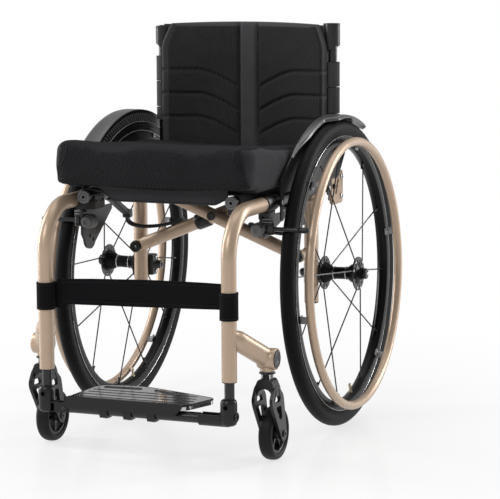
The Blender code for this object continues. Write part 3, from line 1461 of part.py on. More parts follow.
def lock_plate(side):
    """The wheel lock's plate, with its clamp under the tube, its body and the lever's lugs."""
    half = LOCK_PLATE_THICKNESS / 2
    top = SEAT_TUBE_Z - FRAME_TUBE_RADIUS
    tip_y = (LOCK_CLAMP_FRONT + LOCK_CLAMP_REAR) / 2 + LOCK_TIP_SETBACK
    tip_z = LOCK_TIP_Z + LOCK_TIP_RADIUS
    tail_y = LOCK_CLAMP_REAR + LOCK_TAIL_REACH
    outline = [
        (LOCK_CLAMP_FRONT - LOCK_PLATE_LEAD, top - LOCK_PLATE_DROP),
        *arc((tip_y, tip_z), LOCK_TIP_RADIUS, pi + LOCK_TIP_SWEEP, 2 * pi - LOCK_TIP_SWEEP, TIP_STEPS),
        (tail_y, top - LOCK_TAIL_BOTTOM),
        (tail_y, top - LOCK_TAIL_TOP),
    ]
    hole_y, hole_z = tip_y + LOCK_HOLE_SETBACK, tip_z + LOCK_HOLE_RISE
    ahead, up = LOCK_HOLES_APART
    holes = [
        circle((hole_y, hole_z), LOCK_HOLE_RADIUS, HOLE_SIDES),
        circle((hole_y - ahead, hole_z + up), LOCK_HOLE_RADIUS, HOLE_SIDES),
    ]
    made = plate(outline, "X", side * (FRAME_X - half), side * (FRAME_X + half), holes=holes)
    clamp = block(
        mirrored(side, FRAME_X - LOCK_CLAMP_HALF, LOCK_CLAMP_FRONT, top - LOCK_CLAMP_DEPTH),
        mirrored(side, FRAME_X + LOCK_CLAMP_HALF, LOCK_CLAMP_REAR, CLAMP_TOP_Z),
    )
    body = block(
        mirrored(side, FRAME_X, LEVER_Y - LOCK_BODY_LENGTH / 2, LEVER_Z - LOCK_BODY_HEIGHT / 2),
        mirrored(side, FRAME_X - half - LOCK_BODY_DEPTH, LEVER_Y + LOCK_BODY_LENGTH / 2,
                 LEVER_Z + LOCK_BODY_HEIGHT / 2),
    )
    unite(made, clamp, body)
    eye_half = LEVER_EYE_HEIGHT / 2
    for hand in (-1, 1):
        near = LEVER_Z + hand * (eye_half + RUNNING_GAP)
        far = near + hand * LEVER_LUG_THICKNESS
        lug_end = LEVER_X + LEVER_EYE_RADIUS - BRACE_GAP
        lug = block(
            mirrored(side, FRAME_X, LEVER_Y - LEVER_EYE_RADIUS, near),
            mirrored(side, lug_end, LEVER_Y + LEVER_EYE_RADIUS, far),
        )
        unite(made, lug)
    pin_half = eye_half + RUNNING_GAP + LEVER_LUG_THICKNESS / 2
    pin = rod(
        mirrored(side, LEVER_X, LEVER_Y, LEVER_Z - pin_half),
        mirrored(side, LEVER_X, LEVER_Y, LEVER_Z + pin_half),
        LEVER_PIN_RADIUS,
    )
    unite(made, pin)
    return cut(made, rail_cutter(side, FRAME_TUBE_RADIUS + GAP))


def lock_lever(side):
    """The lever whose bar presses on the tyre."""
    centre = mirrored(side, LEVER_X, LEVER_Y, LEVER_Z)
    up = Vector((0, 0, LEVER_EYE_HEIGHT / 2))
    out = Vector((side, 0, 0))
    made = rod(centre - up, centre + up, LEVER_EYE_RADIUS)
    unite(made, rod(centre, centre + out * LEVER_LENGTH, LEVER_ROD_RADIUS))
    return cut(made, rod(centre - up * 2, centre + up * 2, LEVER_PIN_RADIUS + RUNNING_GAP))


def calf_strap():
    """The strap behind the calves, looped round both front tubes."""
    inner = FRAME_TUBE_RADIUS + RUNNING_GAP
    outer = inner + STRAP_LOOP_THICKNESS
    back = FRONT_TUBE_Y + outer + GAP * 5
    heights = {"left": STRAP_LEFT_HEIGHT, "right": STRAP_RIGHT_HEIGHT}
    band = plate(
        [
            (-FRAME_X, STRAP_BOTTOM + GAP),
            (FRAME_X, STRAP_BOTTOM + GAP),
            (FRAME_X, STRAP_BOTTOM + STRAP_LEFT_HEIGHT - GAP),
            (-FRAME_X, STRAP_BOTTOM + STRAP_RIGHT_HEIGHT - GAP),
        ],
        "Y",
        back - STRAP_THICKNESS,
        back,
    )
    for name, side in SIDES.items():
        high = STRAP_BOTTOM + heights[name]
        ring = [(outer, high), (outer, STRAP_BOTTOM), (inner, STRAP_BOTTOM), (inner, high)]
        placed = Matrix.Translation(mirrored(side, FRAME_X, FRONT_TUBE_Y, 0))
        unite(band, turned(ring, placed, TUBE_SIDES))
    return band


def build_side(name, side):
    """One side frame with its wheel, caster and lock."""

    def add(piece, made, look_name):
        return part(f"{name}_{piece}", made, look_name)

    add("front_tube", front_tube(side), "champagne_paint")
    add("side_rail", side_rail(side), "black_anodised")
    add("axle_tube", axle_tube(name, side), "champagne_paint")
    add("axle_receiver", axle_receiver(side), "black_anodised")
    add("axle", axle(side), "bright_steel")
    add("caster_arm", caster_arm(side), "champagne_paint")
    add("caster_arm_cap", caster_arm_cap(side), "grey_plastic")
    add("leg_elbow", leg_elbow(name, side), "black_anodised")
    add("back_bracket", back_bracket(side), "champagne_paint")
    add("back_cane", back_cane(side), "black_anodised")
    add("side_guard", side_guard(side), "guard_grey")
    add("lock_plate", lock_plate(side), "black_plastic")
    add("front_saddle", saddle(side, FRONT_SADDLE_Y, SADDLE_LENGTH, FRAME_TUBE_RADIUS), "black_plastic")
    add("rear_saddle", saddle(side, REAR_SADDLE_Y, REAR_SADDLE_LENGTH, SIDE_RAIL_RADIUS), "black_plastic")
    add("stay_strap", stay_strap(name, side), "webbing")

    carry(
        pivot(f"{name}_wheel_axis", wheel_frame(side)),
        add("wheel_rim", wheel_rim(side), "black_anodised"),
        add("wheel_hub", wheel_hub(side), "black_anodised"),
        add("tyre", tyre(side), "tyre_rubber"),
        add("handrim", handrim(side), "champagne_paint"),
    )
    carry(
        pivot(f"{name}_button_axis", wheel_frame(side)),
        add("axle_button", axle_button(side), "bright_steel"),
    )
    swivel = pivot(
        f"{name}_swivel_axis", Matrix.Translation(mirrored(side, SWIVEL_X, SWIVEL_Y, FORK_TOP))
    )
    caster_axis = pivot(f"{name}_caster_axis", caster_frame(side))
    carry(swivel, add("caster_fork", caster_fork(side), "black_plastic"), caster_axis)
    carry(
        caster_axis,
        add("caster_hub", caster_hub(side), "black_plastic"),
        add("caster_tyre", caster_tyre(side), "tyre_rubber"),
    )
    lever_place = Matrix.Translation(mirrored(side, LEVER_X, LEVER_Y, LEVER_Z))
    carry(pivot(f"{name}_lock_axis", lever_place), add("lock_lever", lock_lever(side), "black_plastic"))


def build_fold():
    """The cross brace, each member with the seat rail that rides on its upper end."""
    for name, side in SIDES.items():
        other = "right" if name == "left" else "left"
        place = Matrix.Translation(mirrored(side, BRACE_PIVOT_X, BRACE_Y[name], BRACE_PIVOT_Z))
        axis = pivot(f"{name}_brace_axis", place)
        carry(
            axis,
            part(f"{name}_brace", brace(name, side), "champagne_paint"),
            part(f"{other}_seat_rail", seat_rail(-side), "black_anodised"),
        )
        if name == "right":
            carry(axis, part("brace_pivot_bolt", brace_pivot_bolt(), "black_anodised"))


def build_footrest():
    """The bar and plate that flip up together."""
    axis = pivot("footrest_axis", Matrix.Translation((FOOT_PIVOT_X, ELBOW_Y, FOOT_BAR_Z)))
    carry(
        axis,
        part("footrest_bar", footrest_bar(), "black_anodised"),
        part("footplate", footplate(), "black_plastic"),
    )


def centre_on_origin():
    """Moves every piece and cutter so that the origin lies under the chair's middle."""
    middle = pivot("floor_centre", Matrix.Identity(4))
    for obj in (*PARTS.objects, *CUTTERS.objects):
        if obj is not middle and obj.parent is None:
            carry(middle, obj)
    middle.location.y = ORIGIN_SHIFT


def build_upholstery():
    """The soft pieces."""
    part("cushion", cushion(), "cushion_fabric")
    part("seat_sling", seat_sling(), "sling_fabric")
    part("back_pad", back_pad(), "back_fabric")
    part("back_shell", back_shell(), "back_fabric")
    part("calf_strap", calf_strap(), "webbing")


clear_scene()
PARTS = new_collection("wheelchair")
CUTTERS = new_collection("cutters")
for side_name, side_sign in SIDES.items():
    build_side(side_name, side_sign)
build_fold()
build_footrest()
build_upholstery()
centre_on_origin()
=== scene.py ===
"""Looks for the folding active wheelchair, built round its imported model.

Metres, +Z up. The chair faces -Y, and the occupant's left is at +X. Places are worked
out from the rear axle, which lies AXLE_Y behind the origin.
"""

import json
import logging
from collections.abc import Callable, Iterable, Sequence
from dataclasses import dataclass, field
from enum import Enum
from math import acos, atan2, cos, exp, hypot, pi, radians, sin, sqrt

import bmesh
import bpy
from mathutils import Matrix, Vector, noise

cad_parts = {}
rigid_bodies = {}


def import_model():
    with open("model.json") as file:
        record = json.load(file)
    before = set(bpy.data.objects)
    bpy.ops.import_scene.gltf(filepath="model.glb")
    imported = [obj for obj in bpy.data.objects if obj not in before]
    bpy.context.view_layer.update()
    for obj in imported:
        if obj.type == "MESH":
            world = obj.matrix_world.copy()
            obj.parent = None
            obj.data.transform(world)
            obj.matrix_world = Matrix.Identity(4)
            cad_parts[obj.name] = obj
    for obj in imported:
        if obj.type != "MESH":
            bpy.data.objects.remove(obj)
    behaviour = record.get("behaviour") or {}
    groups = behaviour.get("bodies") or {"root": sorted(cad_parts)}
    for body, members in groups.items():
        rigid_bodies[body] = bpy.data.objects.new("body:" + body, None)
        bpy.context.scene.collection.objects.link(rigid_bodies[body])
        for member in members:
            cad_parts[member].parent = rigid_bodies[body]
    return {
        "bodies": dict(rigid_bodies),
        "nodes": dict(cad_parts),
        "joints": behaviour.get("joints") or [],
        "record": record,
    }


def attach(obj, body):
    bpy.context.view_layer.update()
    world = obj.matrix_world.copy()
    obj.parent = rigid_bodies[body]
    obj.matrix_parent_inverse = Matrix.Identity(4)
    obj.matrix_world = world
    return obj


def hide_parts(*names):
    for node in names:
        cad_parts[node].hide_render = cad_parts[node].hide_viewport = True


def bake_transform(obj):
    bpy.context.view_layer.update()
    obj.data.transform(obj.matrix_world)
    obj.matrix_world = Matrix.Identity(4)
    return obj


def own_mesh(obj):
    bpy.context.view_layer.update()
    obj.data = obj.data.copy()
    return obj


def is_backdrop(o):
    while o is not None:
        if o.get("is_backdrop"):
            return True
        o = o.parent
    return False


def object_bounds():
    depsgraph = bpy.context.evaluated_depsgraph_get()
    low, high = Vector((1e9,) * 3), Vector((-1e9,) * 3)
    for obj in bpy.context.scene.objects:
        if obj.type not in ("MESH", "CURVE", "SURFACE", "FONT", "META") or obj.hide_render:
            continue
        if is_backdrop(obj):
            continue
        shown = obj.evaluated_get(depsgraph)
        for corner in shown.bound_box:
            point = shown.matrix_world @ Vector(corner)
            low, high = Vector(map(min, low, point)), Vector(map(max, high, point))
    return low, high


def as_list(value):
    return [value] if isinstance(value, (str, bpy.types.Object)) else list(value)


LOG = logging.getLogger("wheelchair")
Point2 = tuple[float, float]
AXLE_Y = 0.0849375
CAMBER = radians(1.5)
WHEEL_X = 0.233
AXLE_Z = 0.2998972
FRAME_X = 0.184
FRONT_TUBE_Y = -0.449
AXLE_TUBE_Y = -0.029
CANE_Y = 0.092
SWIVEL_X, SWIVEL_Y = 0.228, -0.375
CASTER_Y, CASTER_Z = -0.344, 0.050
SEAT_TUBE_Z = 0.465
SEAT_RAIL_X, SEAT_RAIL_Z = 0.150, 0.474
BRACE_PIVOT_X, BRACE_PIVOT_Z = 0.179, 0.342
BRACE_SLOPE = (SEAT_RAIL_Z - BRACE_PIVOT_Z) / (SEAT_RAIL_X + BRACE_PIVOT_X)
BRACE_CENTRE_Z = BRACE_PIVOT_Z + BRACE_SLOPE * BRACE_PIVOT_X
REAR_BRACE_Y, FRONT_BRACE_Y = -0.057, -0.084
BRACE_TUBE_RADIUS = 0.013
ELBOW_Y = -0.453
FOOT_BAR_Z = 0.0925
LEVER_Y, LEVER_Z = -0.2814096, 0.420
LEVER_X = 0.1975
SPOKES, FIRST_SPOKE = 12, 6
PUSH_RING_TABS = 6
CASTER_SPOKES = 5
SLING_FRONT, SLING_REAR, VALANCE_DROP = -0.340, 0.030, 0.030
SHELL_LOW, SHELL_HIGH = 0.585, 0.781
ACROSS = Vector((1, 0, 0)).freeze()
REARWARD = Vector((0, 1, 0)).freeze()
FORWARD = Vector((0, -1, 0)).freeze()
UP = Vector((0, 0, 1)).freeze()
DOWN = Vector((0, 0, -1)).freeze()


class Side(Enum):
    """The occupant's left and right."""

    LEFT = 1
    RIGHT = -1

    @property
    def word(self) -> str:
        """The side as it stands in node names."""
        return self.name.lower()

    @property
    def brace_y(self) -> float:
        """How far back this side's brace member lies from the axle."""
        return FRONT_BRACE_Y if self is Side.LEFT else REAR_BRACE_Y

    @property
    def out(self) -> Vector:
        """The direction away from the chair's middle."""
        return Vector((self.value, 0, 0))

    @property
    def inward(self) -> Vector:
        """The direction toward the chair's middle."""
        return Vector((-self.value, 0, 0))

    def span(self, inner: float, outer: float) -> list[float]:
        """Two places outward, as frame x in rising order."""
        return sorted(self.value * x for x in (inner, outer))

    def at(self, x: float, y: float, z: float) -> Vector:
        """A point given outward, back from the axle and up, in the frame, on this side."""
        return at(self.value * x, y, z)

    def plan(self, points: Iterable[Point2]) -> list[Point2]:
        """Points given outward and back from the axle, as frame (x, y) points on this side."""
        return [(self.value * x, y + AXLE_Y) for x, y in points]


class Axis(Enum):
    """The world axis that a plate's thickness runs along."""

    X = Matrix(((0, 0, 1), (1, 0, 0), (0, 1, 0)))
    Y = Matrix(((1, 0, 0), (0, 0, 1), (0, 1, 0)))
    Z = Matrix.Identity(3)


def at(x: float, y: float, z: float) -> Vector:
    """A point given from the axle, in the frame."""
    return Vector((x, y + AXLE_Y, z))


def wheel_frame(side: Side) -> Matrix:
    """The rear wheel's frame: origin at the hub's middle, Z along the axle and outward."""
    tilt = Matrix.Rotation(side.value * (pi / 2 - CAMBER), 4, "Y")
    return Matrix.Translation(side.at(WHEEL_X, 0, AXLE_Z)) @ tilt


def on_wheel(side: Side, radius: float, angle: float, out: float) -> Vector:
    """A point in the wheel's frame, by its angle up from the front and its offset outward."""
    return Vector((-side.value * radius * sin(angle), -radius * cos(angle), out))


def caster_frame(side: Side) -> Matrix:
    """The caster wheel's frame: origin at its middle, Z along its axle and outward."""
    turn = Matrix.Rotation(side.value * pi / 2, 4, "Y")
    return Matrix.Translation(side.at(SWIVEL_X, CASTER_Y, CASTER_Z)) @ turn


def facing(place: Vector, direction: Vector) -> Matrix:
    """A frame at a place whose Z looks along a direction."""
    return Matrix.Translation(place) @ direction.to_track_quat("Z", "Y").to_matrix().to_4x4()


def eased(value: float, low: float, high: float) -> float:
    """0 below low, 1 above high, and a smooth step between."""
    t = min(1.0, max(0.0, (value - low) / (high - low)))
    return t * t * (3 - 2 * t)


def ridge(distance: float, width: float) -> float:
    """1 on a line, and falling to 0 beside it."""
    return exp(-((distance / width) ** 2))


def arc(centre: Point2, radius: float, start: float, end: float, steps: int) -> list[Point2]:
    """Points on an arc, both ends included."""
    turn = (end - start) / steps
    return [
        (centre[0] + radius * cos(start + turn * step), centre[1] + radius * sin(start + turn * step))
        for step in range(steps + 1)
    ]


def lace(apex: Point2, centre: Point2, radius: float, steps: int = 28) -> list[Point2]:
    """A teardrop outline: most of a circle, and its two tangents that meet at an apex."""
    away = Vector(apex) - Vector(centre)
    lean, half = atan2(away.y, away.x), acos(radius / away.length)
    return [apex, *arc(centre, radius, lean + half, lean - half + 2 * pi, steps)]


def ring(centre: Point2, radius: float, sides: int) -> list[Point2]:
    """Points round a circle."""
    return arc(centre, radius, 0, 2 * pi * (1 - 1 / sides), sides - 1)


def softened(corners: Sequence[Point2], radius: float, steps: int = 4) -> list[Point2]:
    """A closed outline with each corner cut by a short curve of about that radius."""
    points: list[Point2] = []
    count = len(corners)
    for index, corner in enumerate(corners):
        here = Vector(corner)
        back, ahead = Vector(corners[index - 1]) - here, Vector(corners[(index + 1) % count]) - here
        reach = min(radius, back.length * 0.45, ahead.length * 0.45)
        first, last = here + back.normalized() * reach, here + ahead.normalized() * reach
        for step in range(steps + 1):
            t = step / steps
            spot = first * (1 - t) ** 2 + here * 2 * t * (1 - t) + last * t**2
            points.append((spot.x, spot.y))
    return points


def rounded(width: float, height: float, radius: float, steps: int = 4) -> list[Point2]:
    """The outline of a rectangle with round corners, about the origin."""
    w, h = width / 2, height / 2
    return softened([(w, h), (-w, h), (-w, -h), (w, -h)], radius, steps)


def bent_path(corners: Sequence[Vector], bend: float, steps: int = 14) -> list[Vector]:
    """A run's corners, each inner one replaced by an arc of that radius."""
    path = [corners[0].copy()]
    for before, corner, after in zip(corners, corners[1:], corners[2:]):
        back, ahead = (before - corner).normalized(), (after - corner).normalized()
        half = back.angle(ahead) / 2
        centre = corner + (back + ahead).normalized() * bend / sin(half)
        reach = bend * cos(half) / sin(half)
        first = (corner + back * reach - centre).normalized()
        last = (corner + ahead * reach - centre).normalized()
        path += [centre + first.slerp(last, step / steps) * bend for step in range(steps + 1)]
    path.append(corners[-1].copy())
    return path


def lathed(profile: Sequence[Point2], steps: int = 48) -> bmesh.types.BMesh:
    """A profile of (radius, height) points spun round Z.

    Args:
        profile: The outline's points, in order. One that starts and ends on the axis stays
            open, and the last point of any other joins its first.
        steps: How many segments the full turn has.

    Returns:
        The ring or solid, as a new bmesh.
    """
    shell = bmesh.new()
    verts = [shell.verts.new((radius, 0, height)) for radius, height in profile]
    on_axis = profile[0][0] == 0 and profile[-1][0] == 0
    ends = verts[1:] if on_axis else (*verts[1:], verts[0])
    edges = [shell.edges.new(pair) for pair in zip(verts, ends)]
    bmesh.ops.spin(
        shell,
        geom=[*verts, *edges],
        cent=(0, 0, 0),
        axis=(0, 0, 1),
        angle=2 * pi,
        steps=steps,
        use_merge=True,
    )
    bmesh.ops.remove_doubles(shell, verts=shell.verts, dist=1e-6)
    return shell


def mirrored(half: Sequence[Point2], *middle: Point2) -> list[Point2]:
    """A profile's upper half, the points between, and the half's mirror image below."""
    return [*half, *middle, *((radius, -height) for radius, height in reversed(half))]


def bush(
    inner: float, outer: float, low: float, high: float, cut: Point2 = (0.0007, 0.0008)
) -> list[Point2]:
    """The profile of a ring whose outer corners are cut, by (radius, height)."""
    return [
        (inner, low), (outer - cut[0], low), (outer, low + cut[1]),
        (outer, high - cut[1]), (outer - cut[0], high), (inner, high),
    ]


def stud(radius: float, height: float, edge: float = 0.0005, sides: int = 24) -> bmesh.types.BMesh:
    """A short round pin from Z = 0 up to a height, with softened ends."""
    edge = min(edge, radius * 0.4, height * 0.4)
    profile = [(0, 0), (radius - edge, 0), (radius, edge), (radius, height - edge)]
    return lathed([*profile, (radius - edge, height), (0, height)], sides)


def dome(radius: float, height: float, rim: float, sides: int = 32) -> bmesh.types.BMesh:
    """A plug that stands on Z = 0: a short wall, then a low dome."""
    crown = [
        (radius * cos(pi / 2 * step / 6), rim + (height - rim) * sin(pi / 2 * step / 6))
        for step in range(7)
    ]
    return lathed([(0, 0), (radius, 0), *crown[:-1], (0, height)], sides)


def ringed_cap(radius: float, height: float, sides: int = 36) -> bmesh.types.BMesh:
    """A flat round cap on Z = 0, with a groove round its face and a hole in its middle."""
    face = [(0.92, 1.0), (0.68, 1.0), (0.64, 0.78), (0.56, 0.78), (0.52, 1.0), (0.27, 1.0), (0.24, 0.3),
            (0, 0.3)]
    profile = [(0, 0), (radius, 0), (radius, height * 0.75), *((radius * a, height * b) for a, b in face)]
    return lathed(profile, sides)


def swept(
    profile: Sequence[Point2],
    path: Sequence[Vector],
    across: Vector | None = None,
    scales: Sequence[float] | None = None,
    closed: bool = False,
) -> bmesh.types.BMesh:
    """A closed profile extruded along a path, step by step.

    Args:
        profile: Points in the plane square to the path: first along across, then along the
            direction square to it and to the path.
        path: The points that the profile follows.
        across: A direction that the profile's first axis keeps to.
        scales: The profile's size at each point of the path.
        closed: Whether the path's end joins its start.

    Returns:
        The swept body, as a new bmesh.
    """
    count = len(path)
    frames: list[Matrix] = []
    normal = None
    for index in range(count):
        if closed:
            run = path[(index + 1) % count] - path[index - 1]
        else:
            run = path[min(index + 1, count - 1)] - path[max(index - 1, 0)]
        run = run.normalized()
        guide = across if across is not None else normal
        normal = run.orthogonal() if guide is None else guide - run * guide.dot(run)
        normal = normal.normalized()
        size = scales[index] if scales else 1.0
        turn = Matrix((normal * size, run.cross(normal) * size, run)).transposed().to_4x4()
        frames.append(Matrix.Translation(path[index]) @ turn)
    shell = bmesh.new()
    verts = [shell.verts.new(frames[0] @ Vector((a, b, 0))) for a, b in profile]
    first = [shell.edges.new(pair) for pair in zip(verts, (*verts[1:], verts[0]))]
    edges = list(first)
    for before, after in zip(frames, frames[1:]):
        grown = bmesh.ops.extrude_edge_only(shell, edges=edges)["geom"]
        edges = [item for item in grown if isinstance(item, bmesh.types.BMEdge)]
        edges = [edge for edge in edges if len(edge.link_faces) < 2]
        moved = [item for item in grown if isinstance(item, bmesh.types.BMVert)]
        bmesh.ops.transform(shell, matrix=after @ before.inverted(), verts=moved)
    if closed:
        bmesh.ops.bridge_loops(shell, edges=[*first, *edges])
    else:
        for loop in (first, edges):
            bmesh.ops.edgeloop_fill(shell, edges=loop)
    return shell


def tube(path: Sequence[Vector], radius: float, sides: int = 32) -> bmesh.types.BMesh:
    """A round bar that follows a path."""
    return swept(ring((0, 0), radius, sides), path)


def plate(
    outline: Sequence[Point2],
    axis: Axis,
    low: float,
    high: float,
    holes: Iterable[Sequence[Point2]] = (),
) -> bmesh.types.BMesh:
    """A flat piece: an outline and any holes, between two places along an axis."""
    shell = bmesh.new()
    edges = []
    for loop in (outline, *holes):
        verts = [shell.verts.new((a, b, low)) for a, b in loop]
        edges += [shell.edges.new(pair) for pair in zip(verts, (*verts[1:], verts[0]))]
    bmesh.ops.triangle_fill(shell, use_beauty=True, use_dissolve=False, edges=edges)
    grown = bmesh.ops.extrude_face_region(shell, geom=list(shell.faces), use_keep_orig=True)
    lifted = [item for item in grown["geom"] if isinstance(item, bmesh.types.BMVert)]
    bmesh.ops.translate(shell, vec=(0, 0, high - low), verts=lifted)
    bmesh.ops.transform(shell, matrix=axis.value.to_4x4(), verts=shell.verts)
    return shell


def block(low: Vector, high: Vector, edge: float = 0.001, segments: int = 3) -> bmesh.types.BMesh:
    """A box between two opposite corners, with rounded edges."""
    shell = bmesh.new()
    size = Vector(abs(b - a) for a, b in zip(low, high))
    placed = Matrix.Translation((low + high) / 2) @ Matrix.Diagonal(size).to_4x4()
    bmesh.ops.create_cube(shell, size=1.0, matrix=placed)
    bmesh.ops.bevel(
        shell,
        geom=list(shell.edges),
        offset=min(edge, min(size) * 0.45),
        segments=segments,
        profile=0.5,
        affect="EDGES",
        material=-1,
    )
    return shell


def pillow(columns: int, rows: int, place: Callable[[float, float, bool], Vector]) -> bmesh.types.BMesh:
    """A closed soft form: a grid and its copy, each vertex placed by a function of u and v."""
    shell = bmesh.new()
    bmesh.ops.create_grid(shell, x_segments=columns, y_segments=rows, size=1.0)
    lower = list(shell.verts)
    grown = bmesh.ops.extrude_face_region(shell, geom=list(shell.faces), use_keep_orig=True)
    upper = [item for item in grown["geom"] if isinstance(item, bmesh.types.BMVert)]
    for layer, verts in enumerate((lower, upper)):
        for vert in verts:
            vert.co = place(vert.co.x, vert.co.y, layer == 1)
    return shell


class Graph:
    """A node tree being written, with short ways to add and join its nodes."""

    def __init__(self, tree: bpy.types.NodeTree) -> None:
        """Takes the tree to write."""
        self.tree = tree

    def feed(self, socket: bpy.types.NodeSocket, value: object) -> None:
        """Links a socket to another, or sets its value."""
        if isinstance(value, bpy.types.NodeSocket):
            self.tree.links.new(value, socket)
        else:
            socket.default_value = value

    def node(self, kind: str, inputs: dict | None = None, **settings: object) -> bpy.types.Node:
        """A new node.

        Args:
            kind: Blender's name for the node's type.
            inputs: A map of socket name or number to a value or to the socket that feeds it.
            settings: The node's own attributes.

        Returns:
            The node.
        """
        made = self.tree.nodes.new(kind)
        for name, value in settings.items():
            setattr(made, name, value)
        for name, value in (inputs or {}).items():
            self.feed(made.inputs[name], value)
        return made

    def math(self, operation: str, *values: object) -> bpy.types.NodeSocket:
        """The result of a math node."""
        return self.node("ShaderNodeMath", dict(enumerate(values)), operation=operation).outputs[0]

    def mix(self, share: object, first: object, second: object) -> bpy.types.NodeSocket:
        """A colour between two, by a share."""
        inputs = {0: share, 6: first, 7: second}
        return self.node("ShaderNodeMix", inputs, data_type="RGBA").outputs[2]

    def spread(
        self, value: object, low: float, high: float, to_low: float, to_high: float
    ) -> bpy.types.NodeSocket:
        """A value moved from one range to another, and held inside it."""
        inputs = {0: value, 1: low, 2: high, 3: to_low, 4: to_high}
        return self.node("ShaderNodeMapRange", inputs).outputs[0]

    def noise(self, place: object, scale: object, detail: float = 2.0) -> bpy.types.NodeSocket:
        """The strength of a noise texture."""
        inputs = {"Vector": place, "Scale": scale, "Detail": detail}
        return self.node("ShaderNodeTexNoise", inputs).outputs["Fac"]

    def split(self, vector: object) -> tuple[bpy.types.NodeSocket, ...]:
        """A vector's three parts."""
        return tuple(self.node("ShaderNodeSeparateXYZ", {0: vector}).outputs)

    def place(self, output: str = "Object") -> bpy.types.NodeSocket:
        """The piece's own coordinates."""
        return self.node("ShaderNodeTexCoord").outputs[output]

    def bump(self, height: object, strength: float, distance: float) -> bpy.types.NodeSocket:
        """A normal from a height."""
        inputs = {"Height": height, "Strength": strength, "Distance": distance}
        return self.node("ShaderNodeBump", inputs).outputs[0]


class Pattern(Enum):
    """The surface patterns, each a node group of a height and a slow change of tone."""

    GRAIN = "surface_grain"
    KNIT = "spacer_mesh_knit"
    WEAVE = "plain_weave"

    def group(self) -> bpy.types.NodeTree:
        """The pattern's node group, made once. Its inputs are Vector and Size in metres."""
        found = bpy.data.node_groups.get(self.value)
        if found:
            return found
        made = bpy.data.node_groups.new(self.value, "ShaderNodeTree")
        made.interface.new_socket("Vector", in_out="INPUT", socket_type="NodeSocketVector")
        made.interface.new_socket("Size", in_out="INPUT", socket_type="NodeSocketFloat")
        for word in ("Height", "Tone", "Scuff"):
            made.interface.new_socket(word, in_out="OUTPUT", socket_type="NodeSocketFloat")
        start, end = made.nodes.new("NodeGroupInput"), made.nodes.new("NodeGroupOutput")
        graph = Graph(made)
        place, size = start.outputs["Vector"], start.outputs["Size"]
        write = {Pattern.GRAIN: self.grain, Pattern.KNIT: self.knit, Pattern.WEAVE: self.weave}[self]
        graph.feed(end.inputs["Height"], write(graph, place, size))
        slow = graph.noise(place, 11.0, 3.0)
        graph.feed(end.inputs["Tone"], graph.spread(slow, 0.3, 0.7, 0.0, 1.0))
        streaks = graph.node(
            "ShaderNodeMapping", {"Vector": place, "Rotation": (0.5, 0.9, 0.3), "Scale": (14.0, 190.0, 190.0)}
        )
        scratches = graph.noise(streaks.outputs[0], 1.0, 4.0)
        patches = graph.noise(place, 6.0, 1.0)
        marks = graph.math(
            "MULTIPLY",
            graph.spread(scratches, 0.62, 0.78, 0.0, 1.0),
            graph.spread(patches, 0.48, 0.62, 0.0, 1.0),
        )
        graph.feed(end.inputs["Scuff"], marks)
        return made

    @staticmethod
    def grain(graph: Graph, place: object, size: object) -> bpy.types.NodeSocket:
        """Fine random grain."""
        return graph.noise(place, graph.math("DIVIDE", 1.0, size), 3.0)

    @staticmethod
    def knit(graph: Graph, place: object, size: object) -> bpy.types.NodeSocket:
        """Small round openings in rows, much the same on every side of a piece."""
        turned = graph.node("ShaderNodeMapping", {"Vector": place, "Rotation": (0.62, 0.41, 0.79)})
        step = graph.math("DIVIDE", 2 * pi, size)
        waves = [
            graph.math("SINE", graph.math("MULTIPLY", part, step)) for part in graph.split(turned.outputs[0])
        ]
        total = graph.math("ADD", graph.math("ADD", waves[0], waves[1]), waves[2])
        return graph.spread(total, -1.6, 0.9, 0.0, 1.0)

    @staticmethod
    def weave(graph: Graph, place: object, size: object) -> bpy.types.NodeSocket:
        """Threads that pass over and under each other."""
        x, y, z = graph.split(place)
        step = graph.math("DIVIDE", pi, size)
        along = graph.math("SINE", graph.math("MULTIPLY", graph.math("ADD", x, y), step))
        rise = graph.math("ADD", z, graph.math("MULTIPLY", graph.math("SUBTRACT", y, x), 0.5))
        up = graph.math("SINE", graph.math("MULTIPLY", rise, step))
        threads = graph.math("MAXIMUM", graph.math("ABSOLUTE", along), graph.math("ABSOLUTE", up))
        return graph.math("ADD", threads, graph.math("MULTIPLY", graph.math("MULTIPLY", along, up), 0.35))


